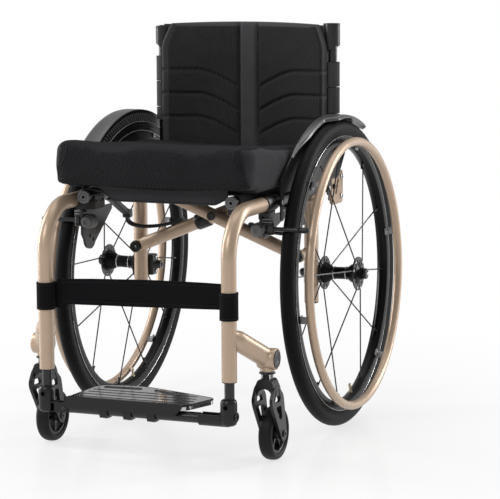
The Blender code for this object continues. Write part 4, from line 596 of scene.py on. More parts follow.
@dataclass(frozen=True)
class Finish:
    """What a surface is made of: a base colour, how it takes light, and its pattern.

    The pattern gives the bump and the hollows' shade. Its slow tone varies the colour and
    the roughness, and its scuffs show as lighter and rougher marks.
    """

    name: str
    colour: tuple[float, float, float]
    roughness: float = 0.5
    metallic: float = 0.0
    coat: float = 0.0
    sheen: float = 0.0
    specular: float = 0.5
    pattern: Pattern = Pattern.GRAIN
    size: float = 0.0007
    depth: float = 0.00004
    strength: float = 0.3
    tone: float = 0.10
    rough_change: float = 0.05
    scuff: float = 0.25
    hollow: float = 0.45

    def material(self) -> bpy.types.Material:
        """The Blender material of this finish, made once."""
        found = bpy.data.materials.get(self.name)
        if found:
            return found
        made = bpy.data.materials.new(self.name)
        made.use_nodes = True
        made.diffuse_color = (*self.colour, 1.0)
        shader = made.node_tree.nodes["Principled BSDF"]
        shader.inputs["Metallic"].default_value = self.metallic
        shader.inputs["Coat Weight"].default_value = self.coat
        shader.inputs["Coat Roughness"].default_value = 0.12
        shader.inputs["Sheen Weight"].default_value = self.sheen
        shader.inputs["Specular IOR Level"].default_value = self.specular
        self.dress(Graph(made.node_tree), shader)
        return made

    def tones(self, graph: Graph, used: bpy.types.Node) -> bpy.types.NodeSocket:
        """The base colour, varied by the pattern's tone and scuffs, with painted shade in its hollows."""
        dark = [part * (1 - self.tone) for part in self.colour]
        light = [min(1.0, part * (1 + self.tone)) for part in self.colour]
        worn = [part + (0.5 - part) * 0.12 for part in self.colour]
        colour = graph.mix(used.outputs["Tone"], (*dark, 1.0), (*light, 1.0))
        marks = graph.math("MULTIPLY", used.outputs["Scuff"], self.scuff)
        colour = graph.mix(marks, colour, (*worn, 1.0))
        if self.pattern is Pattern.GRAIN:
            return colour
        # Painted shade: the pattern's low places are darkened to this share of the colour.
        hollow = [part * self.hollow for part in self.colour]
        share = graph.spread(used.outputs["Height"], 0.1, 0.7, 0.0, 1.0)
        return graph.mix(share, (*hollow, 1.0), colour)

    def dress(self, graph: Graph, shader: bpy.types.Node) -> None:
        """Links the pattern to the shader's colour, roughness and normal."""
        inputs = {"Vector": graph.place(), "Size": self.size}
        used = graph.node("ShaderNodeGroup", node_tree=self.pattern.group())
        for word, value in inputs.items():
            graph.feed(used.inputs[word], value)
        graph.feed(shader.inputs["Base Color"], self.tones(graph, used))
        low, high = self.roughness - self.rough_change, self.roughness + self.rough_change
        rough = graph.spread(used.outputs["Tone"], 0.0, 1.0, low, high)
        marks = graph.math("MULTIPLY", used.outputs["Scuff"], self.scuff)
        graph.feed(shader.inputs["Roughness"], graph.math("ADD", rough, graph.math("MULTIPLY", marks, 0.3)))
        graph.feed(shader.inputs["Normal"], graph.bump(used.outputs["Height"], self.strength, self.depth))


@dataclass(frozen=True)
class TreadFinish(Finish):
    """Tyre rubber, with its tread read from the tyre's own UV map, in metres."""

    def dress(self, graph: Graph, shader: bpy.types.Node) -> None:
        """Adds fine grooves round the crown and slanted sipes on the shoulders, as bumps with painted shade
        in them.
        """
        along, across, _ = graph.split(graph.place("UV"))
        side = graph.math("ABSOLUTE", across)
        lines = graph.math("SINE", graph.math("MULTIPLY", across, 2 * pi / 0.0034))
        slant = graph.math("ADD", along, graph.math("MULTIPLY", side, 0.9))
        sipes = graph.math("SINE", graph.math("MULTIPLY", slant, 2 * pi / 0.0059))
        shoulder = graph.math(
            "MULTIPLY",
            graph.spread(side, 0.0055, 0.007, 0.0, 1.0),
            graph.spread(side, 0.0112, 0.0122, 1.0, 0.0),
        )
        crown = graph.spread(side, 0.0045, 0.006, 1.0, 0.0)
        cuts = graph.math(
            "MAXIMUM",
            graph.math("MULTIPLY", graph.spread(sipes, 0.1, 0.6, 0.0, 1.0), shoulder),
            graph.math("MULTIPLY", graph.spread(lines, 0.5, 0.9, 0.0, 1.0), crown),
        )
        used = graph.node("ShaderNodeGroup", node_tree=Pattern.GRAIN.group())
        graph.feed(used.inputs["Vector"], graph.place())
        graph.feed(used.inputs["Size"], self.size)
        # Painted shade: the grooves and sipes are darkened to four tenths of the rubber's colour.
        dark = [part * 0.4 for part in self.colour]
        graph.feed(shader.inputs["Base Color"], graph.mix(cuts, self.tones(graph, used), (*dark, 1.0)))
        low, high = self.roughness - self.rough_change, self.roughness + self.rough_change
        graph.feed(shader.inputs["Roughness"], graph.spread(used.outputs["Tone"], 0.0, 1.0, low, high))
        height = graph.math("SUBTRACT", graph.math("MULTIPLY", used.outputs["Height"], 0.05), cuts)
        graph.feed(shader.inputs["Normal"], graph.bump(height, self.strength, self.depth))


PAINT = Finish("champagne_satin_paint", (0.475, 0.350, 0.250), 0.38, 0.40, coat=0.25, size=0.0004,
               depth=0.00002, tone=0.035, rough_change=0.03, scuff=0.35)
ANODISED = Finish("black_anodised_metal", (0.008, 0.008, 0.009), 0.27, specular=0.45, size=0.0004,
                  depth=0.00002, tone=0.15, scuff=0.2)
GLOSS = Finish("gloss_black_lacquer", (0.004, 0.004, 0.005), 0.24, specular=0.12, size=0.0006, depth=0.00001,
               rough_change=0.03, scuff=0.2)
MOULDED = Finish("black_moulded_plastic", (0.007, 0.007, 0.008), 0.33, specular=0.35, size=0.0006,
                 depth=0.00006, strength=0.5)
FINNED_GREY = Finish("grey_moulded_plastic", (0.125, 0.125, 0.128), 0.42, specular=0.3, size=0.0006,
                     depth=0.00005)
CAP_GREY = Finish("dark_grey_cap_plastic", (0.034, 0.034, 0.037), 0.38, specular=0.3, size=0.0006,
                  depth=0.00004)
# The guard flange's satin grey, set lighter than the guard's face, partly as painted sheen.
GUARD_GREY_AND_PAINTED_SHEEN = Finish("satin_grey_guard", (0.072, 0.072, 0.075), 0.30, 0.2, coat=0.1, size=0.0005,
                    depth=0.00002)
GUARD_DARK = Finish("dark_guard_face", (0.008, 0.008, 0.009), 0.36, specular=0.25, size=0.0008, depth=0.00005)
STEEL = Finish("polished_steel", (0.60, 0.60, 0.61), 0.24, 1.0, size=0.0003, depth=0.00001, tone=0.06)
DARK_STEEL = Finish("blackened_steel", (0.050, 0.050, 0.053), 0.30, 0.8, size=0.0003, depth=0.00001, tone=0.1)
BRASS = Finish("valve_brass", (0.50, 0.44, 0.33), 0.30, 0.9, size=0.0003, depth=0.00001)
TAB_GREY = Finish("smoky_tab_plastic", (0.26, 0.26, 0.27), 0.25, coat=0.4, size=0.0005, depth=0.00002)
# The footplate deck's pale silver stands partly for the white that the glossy plate reflects: painted
# reflection.
DECK_AND_PAINTED_REFLECTION = Finish("polished_deck_coating", (0.52, 0.52, 0.53), 0.12, 0.9, coat=0.6, size=0.0008, depth=0.00002,
              tone=0.08, rough_change=0.03, scuff=0.4)
RUBBER = TreadFinish("tread_rubber", (0.007, 0.007, 0.008), 0.50, specular=0.08, size=0.0006, depth=0.0007,
                     strength=0.6)
CASTER_RUBBER = Finish("caster_rubber", (0.009, 0.009, 0.010), 0.50, specular=0.18, size=0.0006,
                       depth=0.00005, strength=0.4)
FRONT_MESH = Finish("cushion_front_mesh", (0.025, 0.025, 0.027), 0.86, sheen=0.02, specular=0.0,
                    pattern=Pattern.KNIT, size=0.0033, depth=0.0007, strength=0.9, scuff=0.0)
SEAT_CLOTH = Finish("cushion_cloth", (0.028, 0.028, 0.030), 0.82, sheen=0.0, specular=0.0,
                    pattern=Pattern.WEAVE, size=0.0011, depth=0.00014, strength=0.5, scuff=0.0)
BACK_MESH = Finish("backrest_mesh", (0.037, 0.037, 0.039), 0.85, sheen=0.02, specular=0.0,
                   pattern=Pattern.KNIT, size=0.0031, depth=0.0003, strength=0.55, scuff=0.0)
BACK_CLOTH = Finish("backrest_cloth", (0.061, 0.061, 0.064), 0.74, sheen=0.04, specular=0.06,
                    pattern=Pattern.WEAVE, size=0.0010, depth=0.00012, strength=0.5, scuff=0.0)
SLING = Finish("sling_cloth", (0.052, 0.052, 0.056), 0.82, sheen=0.03, specular=0.03,
               pattern=Pattern.WEAVE, size=0.0016, depth=0.0002, strength=0.6, scuff=0.0)
WEBBING = Finish("black_webbing", (0.008, 0.008, 0.009), 0.80, sheen=0.02, specular=0.03,
                 pattern=Pattern.WEAVE, size=0.0013, depth=0.0002, strength=0.6, scuff=0.0)
SLEEVE = Finish("backrest_sleeve_leatherette", (0.013, 0.013, 0.014), 0.40, specular=0.35, size=0.0008,
                depth=0.00008, strength=0.5)
PANEL_CLOTH = Finish("cushion_side_cloth", (0.036, 0.036, 0.039), 0.75, sheen=0.03, specular=0.05,
                     pattern=Pattern.WEAVE, size=0.0010, depth=0.0001, strength=0.4, scuff=0.0)
# Black discs set into holes and recesses: painted shade that stands for the dark inside a hole.
PAINTED_HOLE_SHADE = Finish("recess_black", (0.003, 0.003, 0.003), 0.8, specular=0.0, size=0.0006)
PIPING = Finish("seam_piping", (0.014, 0.014, 0.016), 0.60, specular=0.10, size=0.0005, depth=0.00005)


class Piece:
    """One piece of the chair in the making: shapes gathered into a mesh, then an object."""

    def __init__(self, name: str, *finishes: Finish) -> None:
        """Starts an empty piece with its finishes, one material slot each."""
        self.name = name
        self.finishes = finishes
        self.shell = bmesh.new()

    def add(self, part: bmesh.types.BMesh, finish: int = 0, placed: Matrix | None = None) -> "Piece":
        """Takes in a shape.

        Args:
            part: The shape, which is used up.
            finish: Which of the piece's finishes it has, or -1 to keep its faces' own.
            placed: Where it goes.

        Returns:
            The piece itself.
        """
        if placed is not None:
            bmesh.ops.transform(part, matrix=placed, verts=part.verts)
        bmesh.ops.recalc_face_normals(part, faces=part.faces)
        if finish >= 0:
            for face in part.faces:
                face.material_index = finish
        mesh = bpy.data.meshes.new("shape")
        part.to_mesh(mesh)
        part.free()
        self.shell.from_mesh(mesh)
        bpy.data.meshes.remove(mesh)
        return self

    def screw(self, place: Vector, direction: Vector, radius: float, height: float, finish: int) -> "Piece":
        """Adds a round screw head with a six-sided socket."""
        placed = facing(place, direction)
        self.add(stud(radius * 0.96, height * 0.5, 0.0001), finish, placed)
        head = plate(ring((0, 0), radius, 24), Axis.Z, height * 0.4, height, [ring((0, 0), radius * 0.48, 6)])
        rim = [edge for edge in head.edges if edge.calc_length() < radius and edge.is_manifold
               and edge.calc_face_angle() > 1 and edge.verts[0].co.length > radius * 0.9]
        top = [edge for edge in rim if min(vert.co.z for vert in edge.verts) > height * 0.9]
        bmesh.ops.bevel(head, geom=top, offset=radius * 0.14, segments=2, profile=0.5, affect="EDGES",
                        material=-1)
        return self.add(head, finish, placed)

    def finish(self, smooth: float = 38, bevel: float = 0.0) -> bpy.types.Object:
        """Makes the object.

        Args:
            smooth: The angle in degrees past which an edge stays sharp.
            bevel: The width of the softened edges, or 0.

        Returns:
            The object, at the origin, with its finishes.
        """
        mesh = bpy.data.meshes.new(self.name)
        self.shell.to_mesh(mesh)
        self.shell.free()
        made = bpy.data.objects.new(self.name, mesh)
        bpy.context.scene.collection.objects.link(made)
        for finish in self.finishes:
            mesh.materials.append(finish.material())
        mesh.shade_smooth()
        mesh.set_sharp_from_angle(angle=radians(smooth))
        if bevel > 0:
            soft = made.modifiers.new("soft_edges", "BEVEL")
            soft.width = bevel
            soft.segments = 2
            soft.limit_method = "ANGLE"
            soft.angle_limit = radians(38)
        return made


class Assembly:
    """A group of pieces, and where each of them rides."""

    node_bodies: dict[str, str] = {}

    def stand(self, made: bpy.types.Object, slot: str, *nodes: str) -> bpy.types.Object:
        """Makes a piece ride on its first node's body and stand for its nodes."""
        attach(made, self.node_bodies[nodes[0]])
        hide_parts(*nodes)
        LOG.info("%s stands for %s", made.name, ", ".join(nodes))
        return made

    def join(self, made: bpy.types.Object, slot: str, body: str) -> bpy.types.Object:
        """Makes a further piece ride on a body."""
        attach(made, body)
        return made

    def refine(self, nodes: dict[str, bpy.types.Object], node: str, finish: Finish) -> Piece:
        """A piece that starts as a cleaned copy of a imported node."""
        piece = Piece(f"{node}_body", finish, DARK_STEEL)
        shell = bmesh.new()
        shell.from_mesh(nodes[node].data)
        bmesh.ops.remove_doubles(shell, verts=shell.verts, dist=2e-6)
        bmesh.ops.dissolve_limit(
            shell, angle_limit=radians(1.5), verts=shell.verts, edges=shell.edges, delimit={"MATERIAL"}
        )
        return piece.add(shell)


@dataclass
class RearWheel(Assembly):
    """A rear wheel: tyre, rim, hub, spokes, push ring and its quick-release axle."""

    side: Side
    rim_radius: float = 0.269
    rim_inner: float = 0.250
    tyre_radius: float = 0.300
    tyre_half: float = 0.0135
    ring_radius: float = 0.2585
    ring_tube: float = 0.0085
    ring_out: float = 0.0335
    flange: float = 0.033

    def tyre(self) -> None:
        """The tyre, with a UV map of metres round and across for its tread."""
        bead = self.rim_radius - 0.002
        crown = arc((self.tyre_radius - self.tyre_half, 0), self.tyre_half, pi * 0.62, -pi * 0.62, 30)
        profile = [(bead, 0.0092), *crown, (bead, -0.0092)]
        name = f"{self.side.word}_tyre"
        made = Piece(f"{name}_cover", RUBBER).add(lathed(profile, 180), 0, wheel_frame(self.side)).finish(60)
        place = wheel_frame(self.side).inverted()
        layer = made.data.uv_layers.new(name="UVMap")
        for face in made.data.polygons:
            middle = place @ face.center
            base = atan2(middle.y, middle.x)
            for loop in face.loop_indices:
                spot = place @ made.data.vertices[made.data.loops[loop].vertex_index].co
                turn = atan2(spot.y, spot.x)
                turn += 2 * pi * round((base - turn) / (2 * pi))
                layer.data[loop].uv = (turn * self.tyre_radius, spot.z)
        self.stand(made, "tyre_rubber", name)

    def rim(self) -> None:
        """The box-section rim with its brake edge, spoke sockets and valve."""
        outer, inner = self.rim_radius, self.rim_inner
        half = [
            (outer, 0.0086), (outer + 0.0020, 0.0100), (outer + 0.0010, 0.0114), (outer - 0.0145, 0.0108),
            (inner + 0.0015, 0.0058), (inner, 0.0030),
        ]
        frame = wheel_frame(self.side)
        piece = Piece(f"{self.side.word}_rim", GLOSS, ANODISED, BRASS, STEEL)
        piece.add(lathed(softened(mirrored(half), 0.0012, 2), 160), 0, frame)
        # Thin steel rings along both edges of the rim draw a bright line there, which is partly a painted
        # highlight on the gloss rim.
        for hand in (-1, 1):
            piece.add(lathed(ring((outer + 0.0006, hand * 0.0112), 0.0005, 8), 160), 3, frame)
        for index in range(SPOKES):
            root = on_wheel(self.side, inner + 0.001, radians(FIRST_SPOKE + 360 / SPOKES * index), 0.0)
            nipple = [(0, 0), (0.0034, 0), (0.0030, 0.004), (0.0019, 0.006), (0.0019, 0.013), (0, 0.013)]
            piece.add(lathed(nipple, 12), 1, frame @ facing(root, -root))
        root = on_wheel(self.side, inner + 0.001, radians(-100), 0)
        stem = [
            (0, 0), (0.0042, 0), (0.0042, 0.003), (0.0026, 0.0035), (0.0026, 0.012), (0.0034, 0.0125),
            (0.0034, 0.018), (0.0020, 0.0195), (0, 0.0195),
        ]
        piece.add(lathed(stem, 16), 2, frame @ facing(root, -root))
        self.stand(piece.finish(45), "black_anodised", f"{self.side.word}_wheel_rim")

    def hub(self) -> None:
        """The hub's shell with its two drilled flanges, two thin bright bands that are painted glints, and
        the twelve spokes.
        """
        r = self.flange
        profile = [
            (0.0115, 0.0498), (0.0115, 0.0430), (0.0150, 0.0418), (0.0214, 0.0402), (0.0220, 0.0392),
            (0.0220, 0.0362), (0.0170, 0.0240), (0.0126, 0.0180), (0.0120, 0.0100), (0.0120, -0.0080),
            (0.0126, -0.0150), (0.0170, -0.0210), (0.0220, -0.0298), (0.0220, -0.0326), (0.0210, -0.0333),
            (0.0068, -0.0333), (0.0068, 0.0498),
        ]
        frame = wheel_frame(self.side)
        piece = Piece(f"{self.side.word}_hub", ANODISED, GLOSS, STEEL)
        piece.add(lathed(softened(profile, 0.0010, 2), 64), 1, frame)
        holes = [ring((0, 0), 0.0216, 48)]
        for index in range(SPOKES):
            spot = on_wheel(self.side, 0.0253, radians(FIRST_SPOKE + 360 / SPOKES * (index + 0.5)), 0)
            holes.append(ring((spot.x, spot.y), 0.0026, 14))
        for low, high in ((0.0366, 0.0392), (-0.0330, -0.0304)):
            piece.add(plate(ring((0, 0), r, 64), Axis.Z, low, high, holes), 0, frame)
        # Two thin steel bands on the black barrel are painted glints: bright metal set where the barrel shows
        # highlights.
        for height in (0.0150, -0.0105):
            low, high = height - 0.0006, height + 0.0006
            band = [(0.0120, low), (0.0133, low), (0.0133, high), (0.0120, high)]
            piece.add(lathed(band, 40), 2, frame)
        for index in range(SPOKES):
            outward = index % 2 == 0
            angle = radians(FIRST_SPOKE + 360 / SPOKES * index)
            lean = radians(12) if index % 4 < 2 else -radians(12)
            hand = 1 if outward else -1
            root = on_wheel(self.side, r - 0.0040, angle + lean, 0.0379 if outward else -0.0303)
            tip = on_wheel(self.side, self.rim_inner + 0.001, angle, hand * 0.0012)
            root.z += hand * 0.0016
            run = (tip - root).normalized()
            piece.add(tube([root, root + run * 0.010, tip - run * 0.02, tip], 0.0014, 8), 0, frame)
            head = [(0, -0.004), (0.0014, -0.004), (0.0014, 0), (0.0028, 0.0002), (0.0022, 0.0014),
                    (0, 0.0018)]
            piece.add(lathed(head, 12), 2, frame @ facing(root, Vector((0, 0, hand))))
        self.stand(piece.finish(40), "black_anodised", f"{self.side.word}_wheel_hub")

    def push_ring(self) -> None:
        """The painted push ring with its six tabs and their screws."""
        frame = wheel_frame(self.side)
        piece = Piece(f"{self.side.word}_push_ring", PAINT, TAB_GREY, STEEL)
        piece.add(lathed(ring((self.ring_radius, self.ring_out), self.ring_tube, 28), 180), 0, frame)
        for index in range(PUSH_RING_TABS):
            spot = on_wheel(self.side, self.ring_radius, radians(48 + 360 / PUSH_RING_TABS * index), 0)
            outward = spot.normalized()
            turn = Matrix((outward.cross(UP), outward, UP)).transposed().to_4x4()
            place = frame @ Matrix.Translation(spot) @ turn
            for inner, top in ((-0.0020, 0.0290), (-0.0100, 0.0142)):
                tab = block(Vector((-0.0070, inner, 0.0112)), Vector((0.0070, 0.0020, top)), 0.001)
                piece.add(tab, 1, place)
            piece.screw(place @ Vector((0, -0.0062, 0.0142)), place.to_3x3() @ UP, 0.0030, 0.0020, 2)
        self.stand(piece.finish(45), "champagne_paint", f"{self.side.word}_handrim")

    def axle(self) -> None:
        """The quick-release axle in the frame's receiver, and its push button."""
        frame = wheel_frame(self.side)
        pin = [
            (0, -0.0840), (0.0045, -0.0840), (0.0062, -0.0822), (0.0063, 0.0505), (0.0096, 0.0505),
            (0.0100, 0.0511),
            (0.0100, 0.0555), (0.0092, 0.0565), (0.0043, 0.0565), (0.0043, 0.0530), (0, 0.0530),
        ]
        piece = Piece(f"{self.side.word}_quick_release_axle", DARK_STEEL).add(lathed(pin, 32), 0, frame)
        for index in range(18):
            spot = on_wheel(self.side, 0.0100, 2 * pi * index / 18, 0.0535)
            half = Vector((0, 0, 0.0016))
            piece.add(tube([spot - half, spot + half], 0.0006, 6), 0, frame)
        self.stand(piece.finish(30), "bright_steel", f"{self.side.word}_axle")
        cap = Matrix.Translation((0, 0, 0.0530))
        button = Piece(f"{self.side.word}_push_button", STEEL)
        button.add(dome(0.0040, 0.0070, 0.0055, 24), 0, frame @ cap)
        self.stand(button.finish(30), "bright_steel", f"{self.side.word}_axle_button")

    def build(self) -> None:
        """Makes every piece of the wheel."""
        self.tyre()
        self.rim()
        self.hub()
        self.push_ring()
        self.axle()


@dataclass
class SideFrame(Assembly):
    """One side frame: its tubes, the axle receiver, the seat rail's saddles and the stay's arm."""

    side: Side
    nodes: dict[str, bpy.types.Object]
    tube: float = 0.014
    rail: float = 0.01275
    joint_y: float = -0.227
    foot_z: float = 0.162
    bend: float = 0.085

    def front_tube(self) -> None:
        """The painted front tube, bent from the leg back into the seat tube."""
        s = self.side
        path = bent_path(
            [
                s.at(FRAME_X, FRONT_TUBE_Y, self.foot_z),
                s.at(FRAME_X, FRONT_TUBE_Y, SEAT_TUBE_Z),
                s.at(FRAME_X, self.joint_y - 0.0004, SEAT_TUBE_Z),
            ],
            self.bend, 20,
        )
        piece = Piece(f"{s.word}_front_tube_bent", PAINT, MOULDED)
        piece.add(tube(path, self.tube, 40))
        collar = [(0.0094, -0.0016), (0.0132, -0.0016), (0.0140, -0.0006), (0.0140, 0.0004), (0.0094, 0.0004)]
        piece.add(lathed(collar, 40), 1, Matrix.Translation(s.at(FRAME_X, FRONT_TUBE_Y, self.foot_z)))
        self.stand(piece.finish(45, 0.0005), "champagne_paint", f"{s.word}_front_tube")

    def side_rail(self) -> None:
        """The black seat tube with its end plug, and the sloping arm and block that hold the stay."""
        s = self.side
        piece = Piece(f"{s.word}_seat_tube", ANODISED, MOULDED, DARK_STEEL)
        start, end = s.at(FRAME_X, self.joint_y - 0.006, SEAT_TUBE_Z), s.at(FRAME_X, 0.0560, SEAT_TUBE_Z)
        piece.add(tube([start, end], self.rail, 40))
        piece.add(dome(self.rail - 0.0002, 0.0065, 0.0025), 1, facing(end, REARWARD))
        bends = ((-0.178, 0.454), (-0.160, 0.447), (-0.112, 0.4225), (-0.090, 0.4125))
        arm = [s.at(FRAME_X, y, z) for y, z in bends]
        piece.add(swept(rounded(0.0150, 0.0115, 0.0030), arm, ACROSS), 1)
        piece.add(block(s.at(0.1760, -0.0985, 0.4035), s.at(0.1920, -0.0815, 0.4200), 0.0025), 1)
        for y, z in ((-0.163, 0.4485), (-0.100, 0.4170)):
            piece.screw(s.at(0.1915, y, z), s.out, 0.0034, 0.0016, 2)
            piece.screw(s.at(0.1765, y, z), s.inward, 0.0034, 0.0016, 2)
        self.stand(piece.finish(40), "black_anodised", f"{s.word}_side_rail")

    def axle_tube(self) -> None:
        """The painted upright with its foot plug, weld ring and the brace's lower pivot."""
        s = self.side
        piece = Piece(f"{s.word}_axle_upright", PAINT, MOULDED, STEEL)
        foot, top = s.at(FRAME_X, AXLE_TUBE_Y, 0.2455), s.at(FRAME_X, AXLE_TUBE_Y, 0.457)
        piece.add(tube([foot, top], self.tube, 40))
        piece.add(dome(self.tube - 0.0003, 0.0045, 0.0018), 1, facing(foot, DOWN))
        weld = [(0.0132, 0.0), (0.0160, 0.003), (0.0152, 0.008), (0.0132, 0.011)]
        piece.add(lathed(weld, 40), 0, Matrix.Translation(s.at(FRAME_X, AXLE_TUBE_Y, 0.4415)))
        y = s.brace_y
        boss = [(0, 0), (0.0130, 0), (0.0112, -0.0145), (0.0090, -0.0170), (0.0090, y + 0.0065 - AXLE_TUBE_Y),
                (0, y + 0.0065 - AXLE_TUBE_Y)]
        low = s.at(BRACE_PIVOT_X, AXLE_TUBE_Y, BRACE_PIVOT_Z)
        turn = Matrix.Translation(low) @ Matrix.Rotation(-pi / 2, 4, "X")
        piece.add(lathed(boss, 32), 0, turn)
        pin_start = s.at(BRACE_PIVOT_X, y + 0.007, BRACE_PIVOT_Z)
        head = s.at(BRACE_PIVOT_X, y - 0.0065, BRACE_PIVOT_Z)
        piece.add(tube([pin_start, head - Vector((0, 0.002, 0))], 0.0039, 20), 2)
        piece.add(ringed_cap(0.0114, 0.0066), 1, facing(head, FORWARD))
        self.stand(piece.finish(42, 0.0005), "champagne_paint", f"{s.word}_axle_tube")

    def receiver(self) -> None:
        """The clamp on the upright that the axle slides into."""
        s = self.side
        piece = Piece(f"{s.word}_axle_clamp", ANODISED, STEEL)
        barrel = [
            (0.0066, -0.0340), (0.0150, -0.0340), (0.0172, -0.0352), (0.0172, -0.0384), (0.0140, -0.0396),
            (0.0135, -0.0590), (0.0176, -0.0600), (0.0176, -0.0628), (0.0140, -0.0650), (0.0128, -0.0700),
            (0.0104, -0.0712), (0.0086, -0.0740), (0.0082, -0.0800), (0.0076, -0.0808), (0.0066, -0.0808),
        ]
        piece.add(lathed(barrel, 40), 0, wheel_frame(s))
        lip = [(0.0064, -0.0806), (0.0070, -0.0806), (0.0070, -0.0822), (0.0064, -0.0822)]
        piece.add(lathed(lip, 28), 1, wheel_frame(s))
        piece.add(block(s.at(0.163, -0.0180, 0.2776), s.at(0.190, 0.0075, 0.3196), 0.003), 0)
        for z in (0.2846, 0.3126):
            piece.screw(s.at(0.163, -0.004, z), s.inward, 0.0036, 0.0024, 1)
        self.stand(piece.finish(40, 0.0004), "black_anodised", f"{s.word}_axle_receiver")

    def saddles(self) -> None:
        """The open cradles that hold the seat rail."""
        s = self.side
        for word, y, reach in (("front", -0.315, 0.040), ("rear", 0.014, 0.028)):
            name = f"{s.word}_{word}_saddle"
            piece = self.refine(self.nodes, name, MOULDED)
            for step in (-0.35, 0.35):
                spot = s.at(0.1352, y + step * reach, 0.4640)
                piece.screw(spot, s.inward, 0.0028, 0.0014, 1)
            self.stand(piece.finish(38, 0.0008), "black_plastic", name)

    def build(self) -> None:
        """Makes every piece of the side frame."""
        self.front_tube()
        self.side_rail()
        self.axle_tube()
        self.receiver()
        self.saddles()


@dataclass
class CrossBrace(Assembly):
    """The folding cross brace, the seat rails on its upper ends and the flexible stays."""

    lug: float = 0.0125
    rail_radius: float = 0.0115
    rail_front: float = -0.350
    rail_rear: float = 0.032

    def member(self, side: Side) -> None:
        """One brace member, from this side's lower pivot to the other side's seat rail."""
        y = side.brace_y
        low = side.at(BRACE_PIVOT_X, y, BRACE_PIVOT_Z)
        high = side.at(-SEAT_RAIL_X, y, SEAT_RAIL_Z)
        run = (high - low).normalized()
        piece = Piece(f"{side.word}_brace_member", PAINT, MOULDED, STEEL)
        tube_start, tube_end = low + run * 0.0150, high - run * 0.0106
        piece.add(tube([tube_start, tube_end], BRACE_TUBE_RADIUS, 36))
        piece.add(lathed(bush(0.0046, 0.0125, -0.0058, 0.0058), 36), 0, facing(low, REARWARD))
        neck = [low + run * 0.006, low + run * 0.012, low + run * 0.018, low + run * 0.026]
        piece.add(swept(rounded(0.0114, 0.0228, 0.0035), neck, REARWARD))
        weld = [(0.0126, 0.0), (0.0146, 0.002), (0.0140, 0.006), (0.0126, 0.008)]
        piece.add(lathed(weld, 36), 0, facing(high - run * 0.020, run))
        if side is Side.RIGHT:
            centre = at(0, y, BRACE_CENTRE_Z)
            sleeve = bush(0.0131, 0.0160, 0.0, 0.028, (0.0008, 0.0012))
            piece.add(lathed(sleeve, 36), 1, facing(centre - run * 0.050, run))
            up = run.cross(REARWARD)
            up = up if up.z > 0 else -up
            middle = centre - run * 0.036
            neck = [middle + up * 0.012, middle + up * 0.0195]
            piece.add(swept(rounded(0.011, 0.009, 0.002), neck, REARWARD), 1)
            piece.screw(middle + up * 0.0193, up, 0.0038, 0.0022, 2)
        self.stand(piece.finish(42, 0.0004), "champagne_paint", f"{side.word}_brace")

    def centre_bolt(self) -> None:
        """The bolt that the two members turn on."""
        piece = Piece("centre_pivot_bolt", ANODISED, STEEL)
        front = at(0, FRONT_BRACE_Y - 0.0133, BRACE_CENTRE_Z)
        rear = at(0, REAR_BRACE_Y + 0.0133, BRACE_CENTRE_Z)
        piece.add(tube([front, rear], 0.0041, 20), 1)
        piece.screw(front, FORWARD, 0.0086, 0.0036, 0)
        piece.screw(rear, REARWARD, 0.0086, 0.0036, 0)
        self.stand(piece.finish(38), "black_anodised", "brace_pivot_bolt")

    def seat_rail(self, side: Side) -> None:
        """A seat rail with its two end caps."""
        piece = Piece(f"{side.word}_seat_rail_tube", ANODISED, FINNED_GREY, PAINTED_HOLE_SHADE)
        ends = [side.at(SEAT_RAIL_X, y, SEAT_RAIL_Z) for y in (self.rail_front, self.rail_rear)]
        piece.add(tube(ends, self.rail_radius, 36))
        for end, hand in zip(ends, (-1, 1)):
            out = Vector((0, hand, 0))
            piece.add(ringed_cap(0.0122, 0.0062, 40), 1, facing(end, out))
            # A black disc in the cap's middle hole: painted shade for the hole.
            piece.add(stud(0.0029, 0.0026), 2, facing(end, out))
        self.stand(piece.finish(38), "black_anodised", f"{side.word}_seat_rail")

    def stay(self, side: Side) -> None:
        """A flexible stay, from its block under the seat tube onto the brace, and its cleat there."""
        y = side.brace_y
        top = side.at(FRAME_X, -0.090, 0.4047)
        start, first = top - Vector((0, 0, 0.003)), top - Vector((0, 0, 0.023))
        rise = (BRACE_TUBE_RADIUS + 0.0034) / cos(atan2(BRACE_SLOPE, 1))
        last, end = (side.at(x, y, BRACE_CENTRE_Z - BRACE_SLOPE * x + rise) for x in (0.135, 0.078))
        path = [top + Vector((0, 0, 0.004))]
        for step in range(25):
            t = step / 24
            outer = start * (1 - t) ** 3 + first * 3 * t * (1 - t) ** 2
            path.append(outer + last * 3 * t**2 * (1 - t) + end * t**3)
        piece = Piece(f"{side.word}_flexible_stay", MOULDED, STEEL)
        piece.add(swept(rounded(0.0120, 0.0066, 0.0024), path, REARWARD))
        made = piece.finish(50)
        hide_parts(f"{side.word}_stay_strap")
        brace = "rear_brace" if side is Side.RIGHT else "front_brace"
        tuple(top)
        tuple(side.at(0.128, y, 0.392))
        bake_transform(made)
        run = (end - last).normalized()
        tail = end - run * 0.006
        cleat = Piece(f"{side.word}_stay_cleat", MOULDED, DARK_STEEL)
        up = Vector((side.value * BRACE_SLOPE, 0, 1)).normalized()
        cleat.add(swept(rounded(0.0150, 0.0060, 0.0016), [tail - run * 0.008, tail + run * 0.008], REARWARD))
        cleat.screw(tail + up * 0.0028, up, 0.0030, 0.0016, 1)
        self.join(cleat.finish(40), "webbing", brace)

    def build(self) -> None:
        """Makes every piece of the brace."""
        for side in Side:
            self.member(side)
            self.seat_rail(side)
            self.stay(side)
        self.centre_bolt()


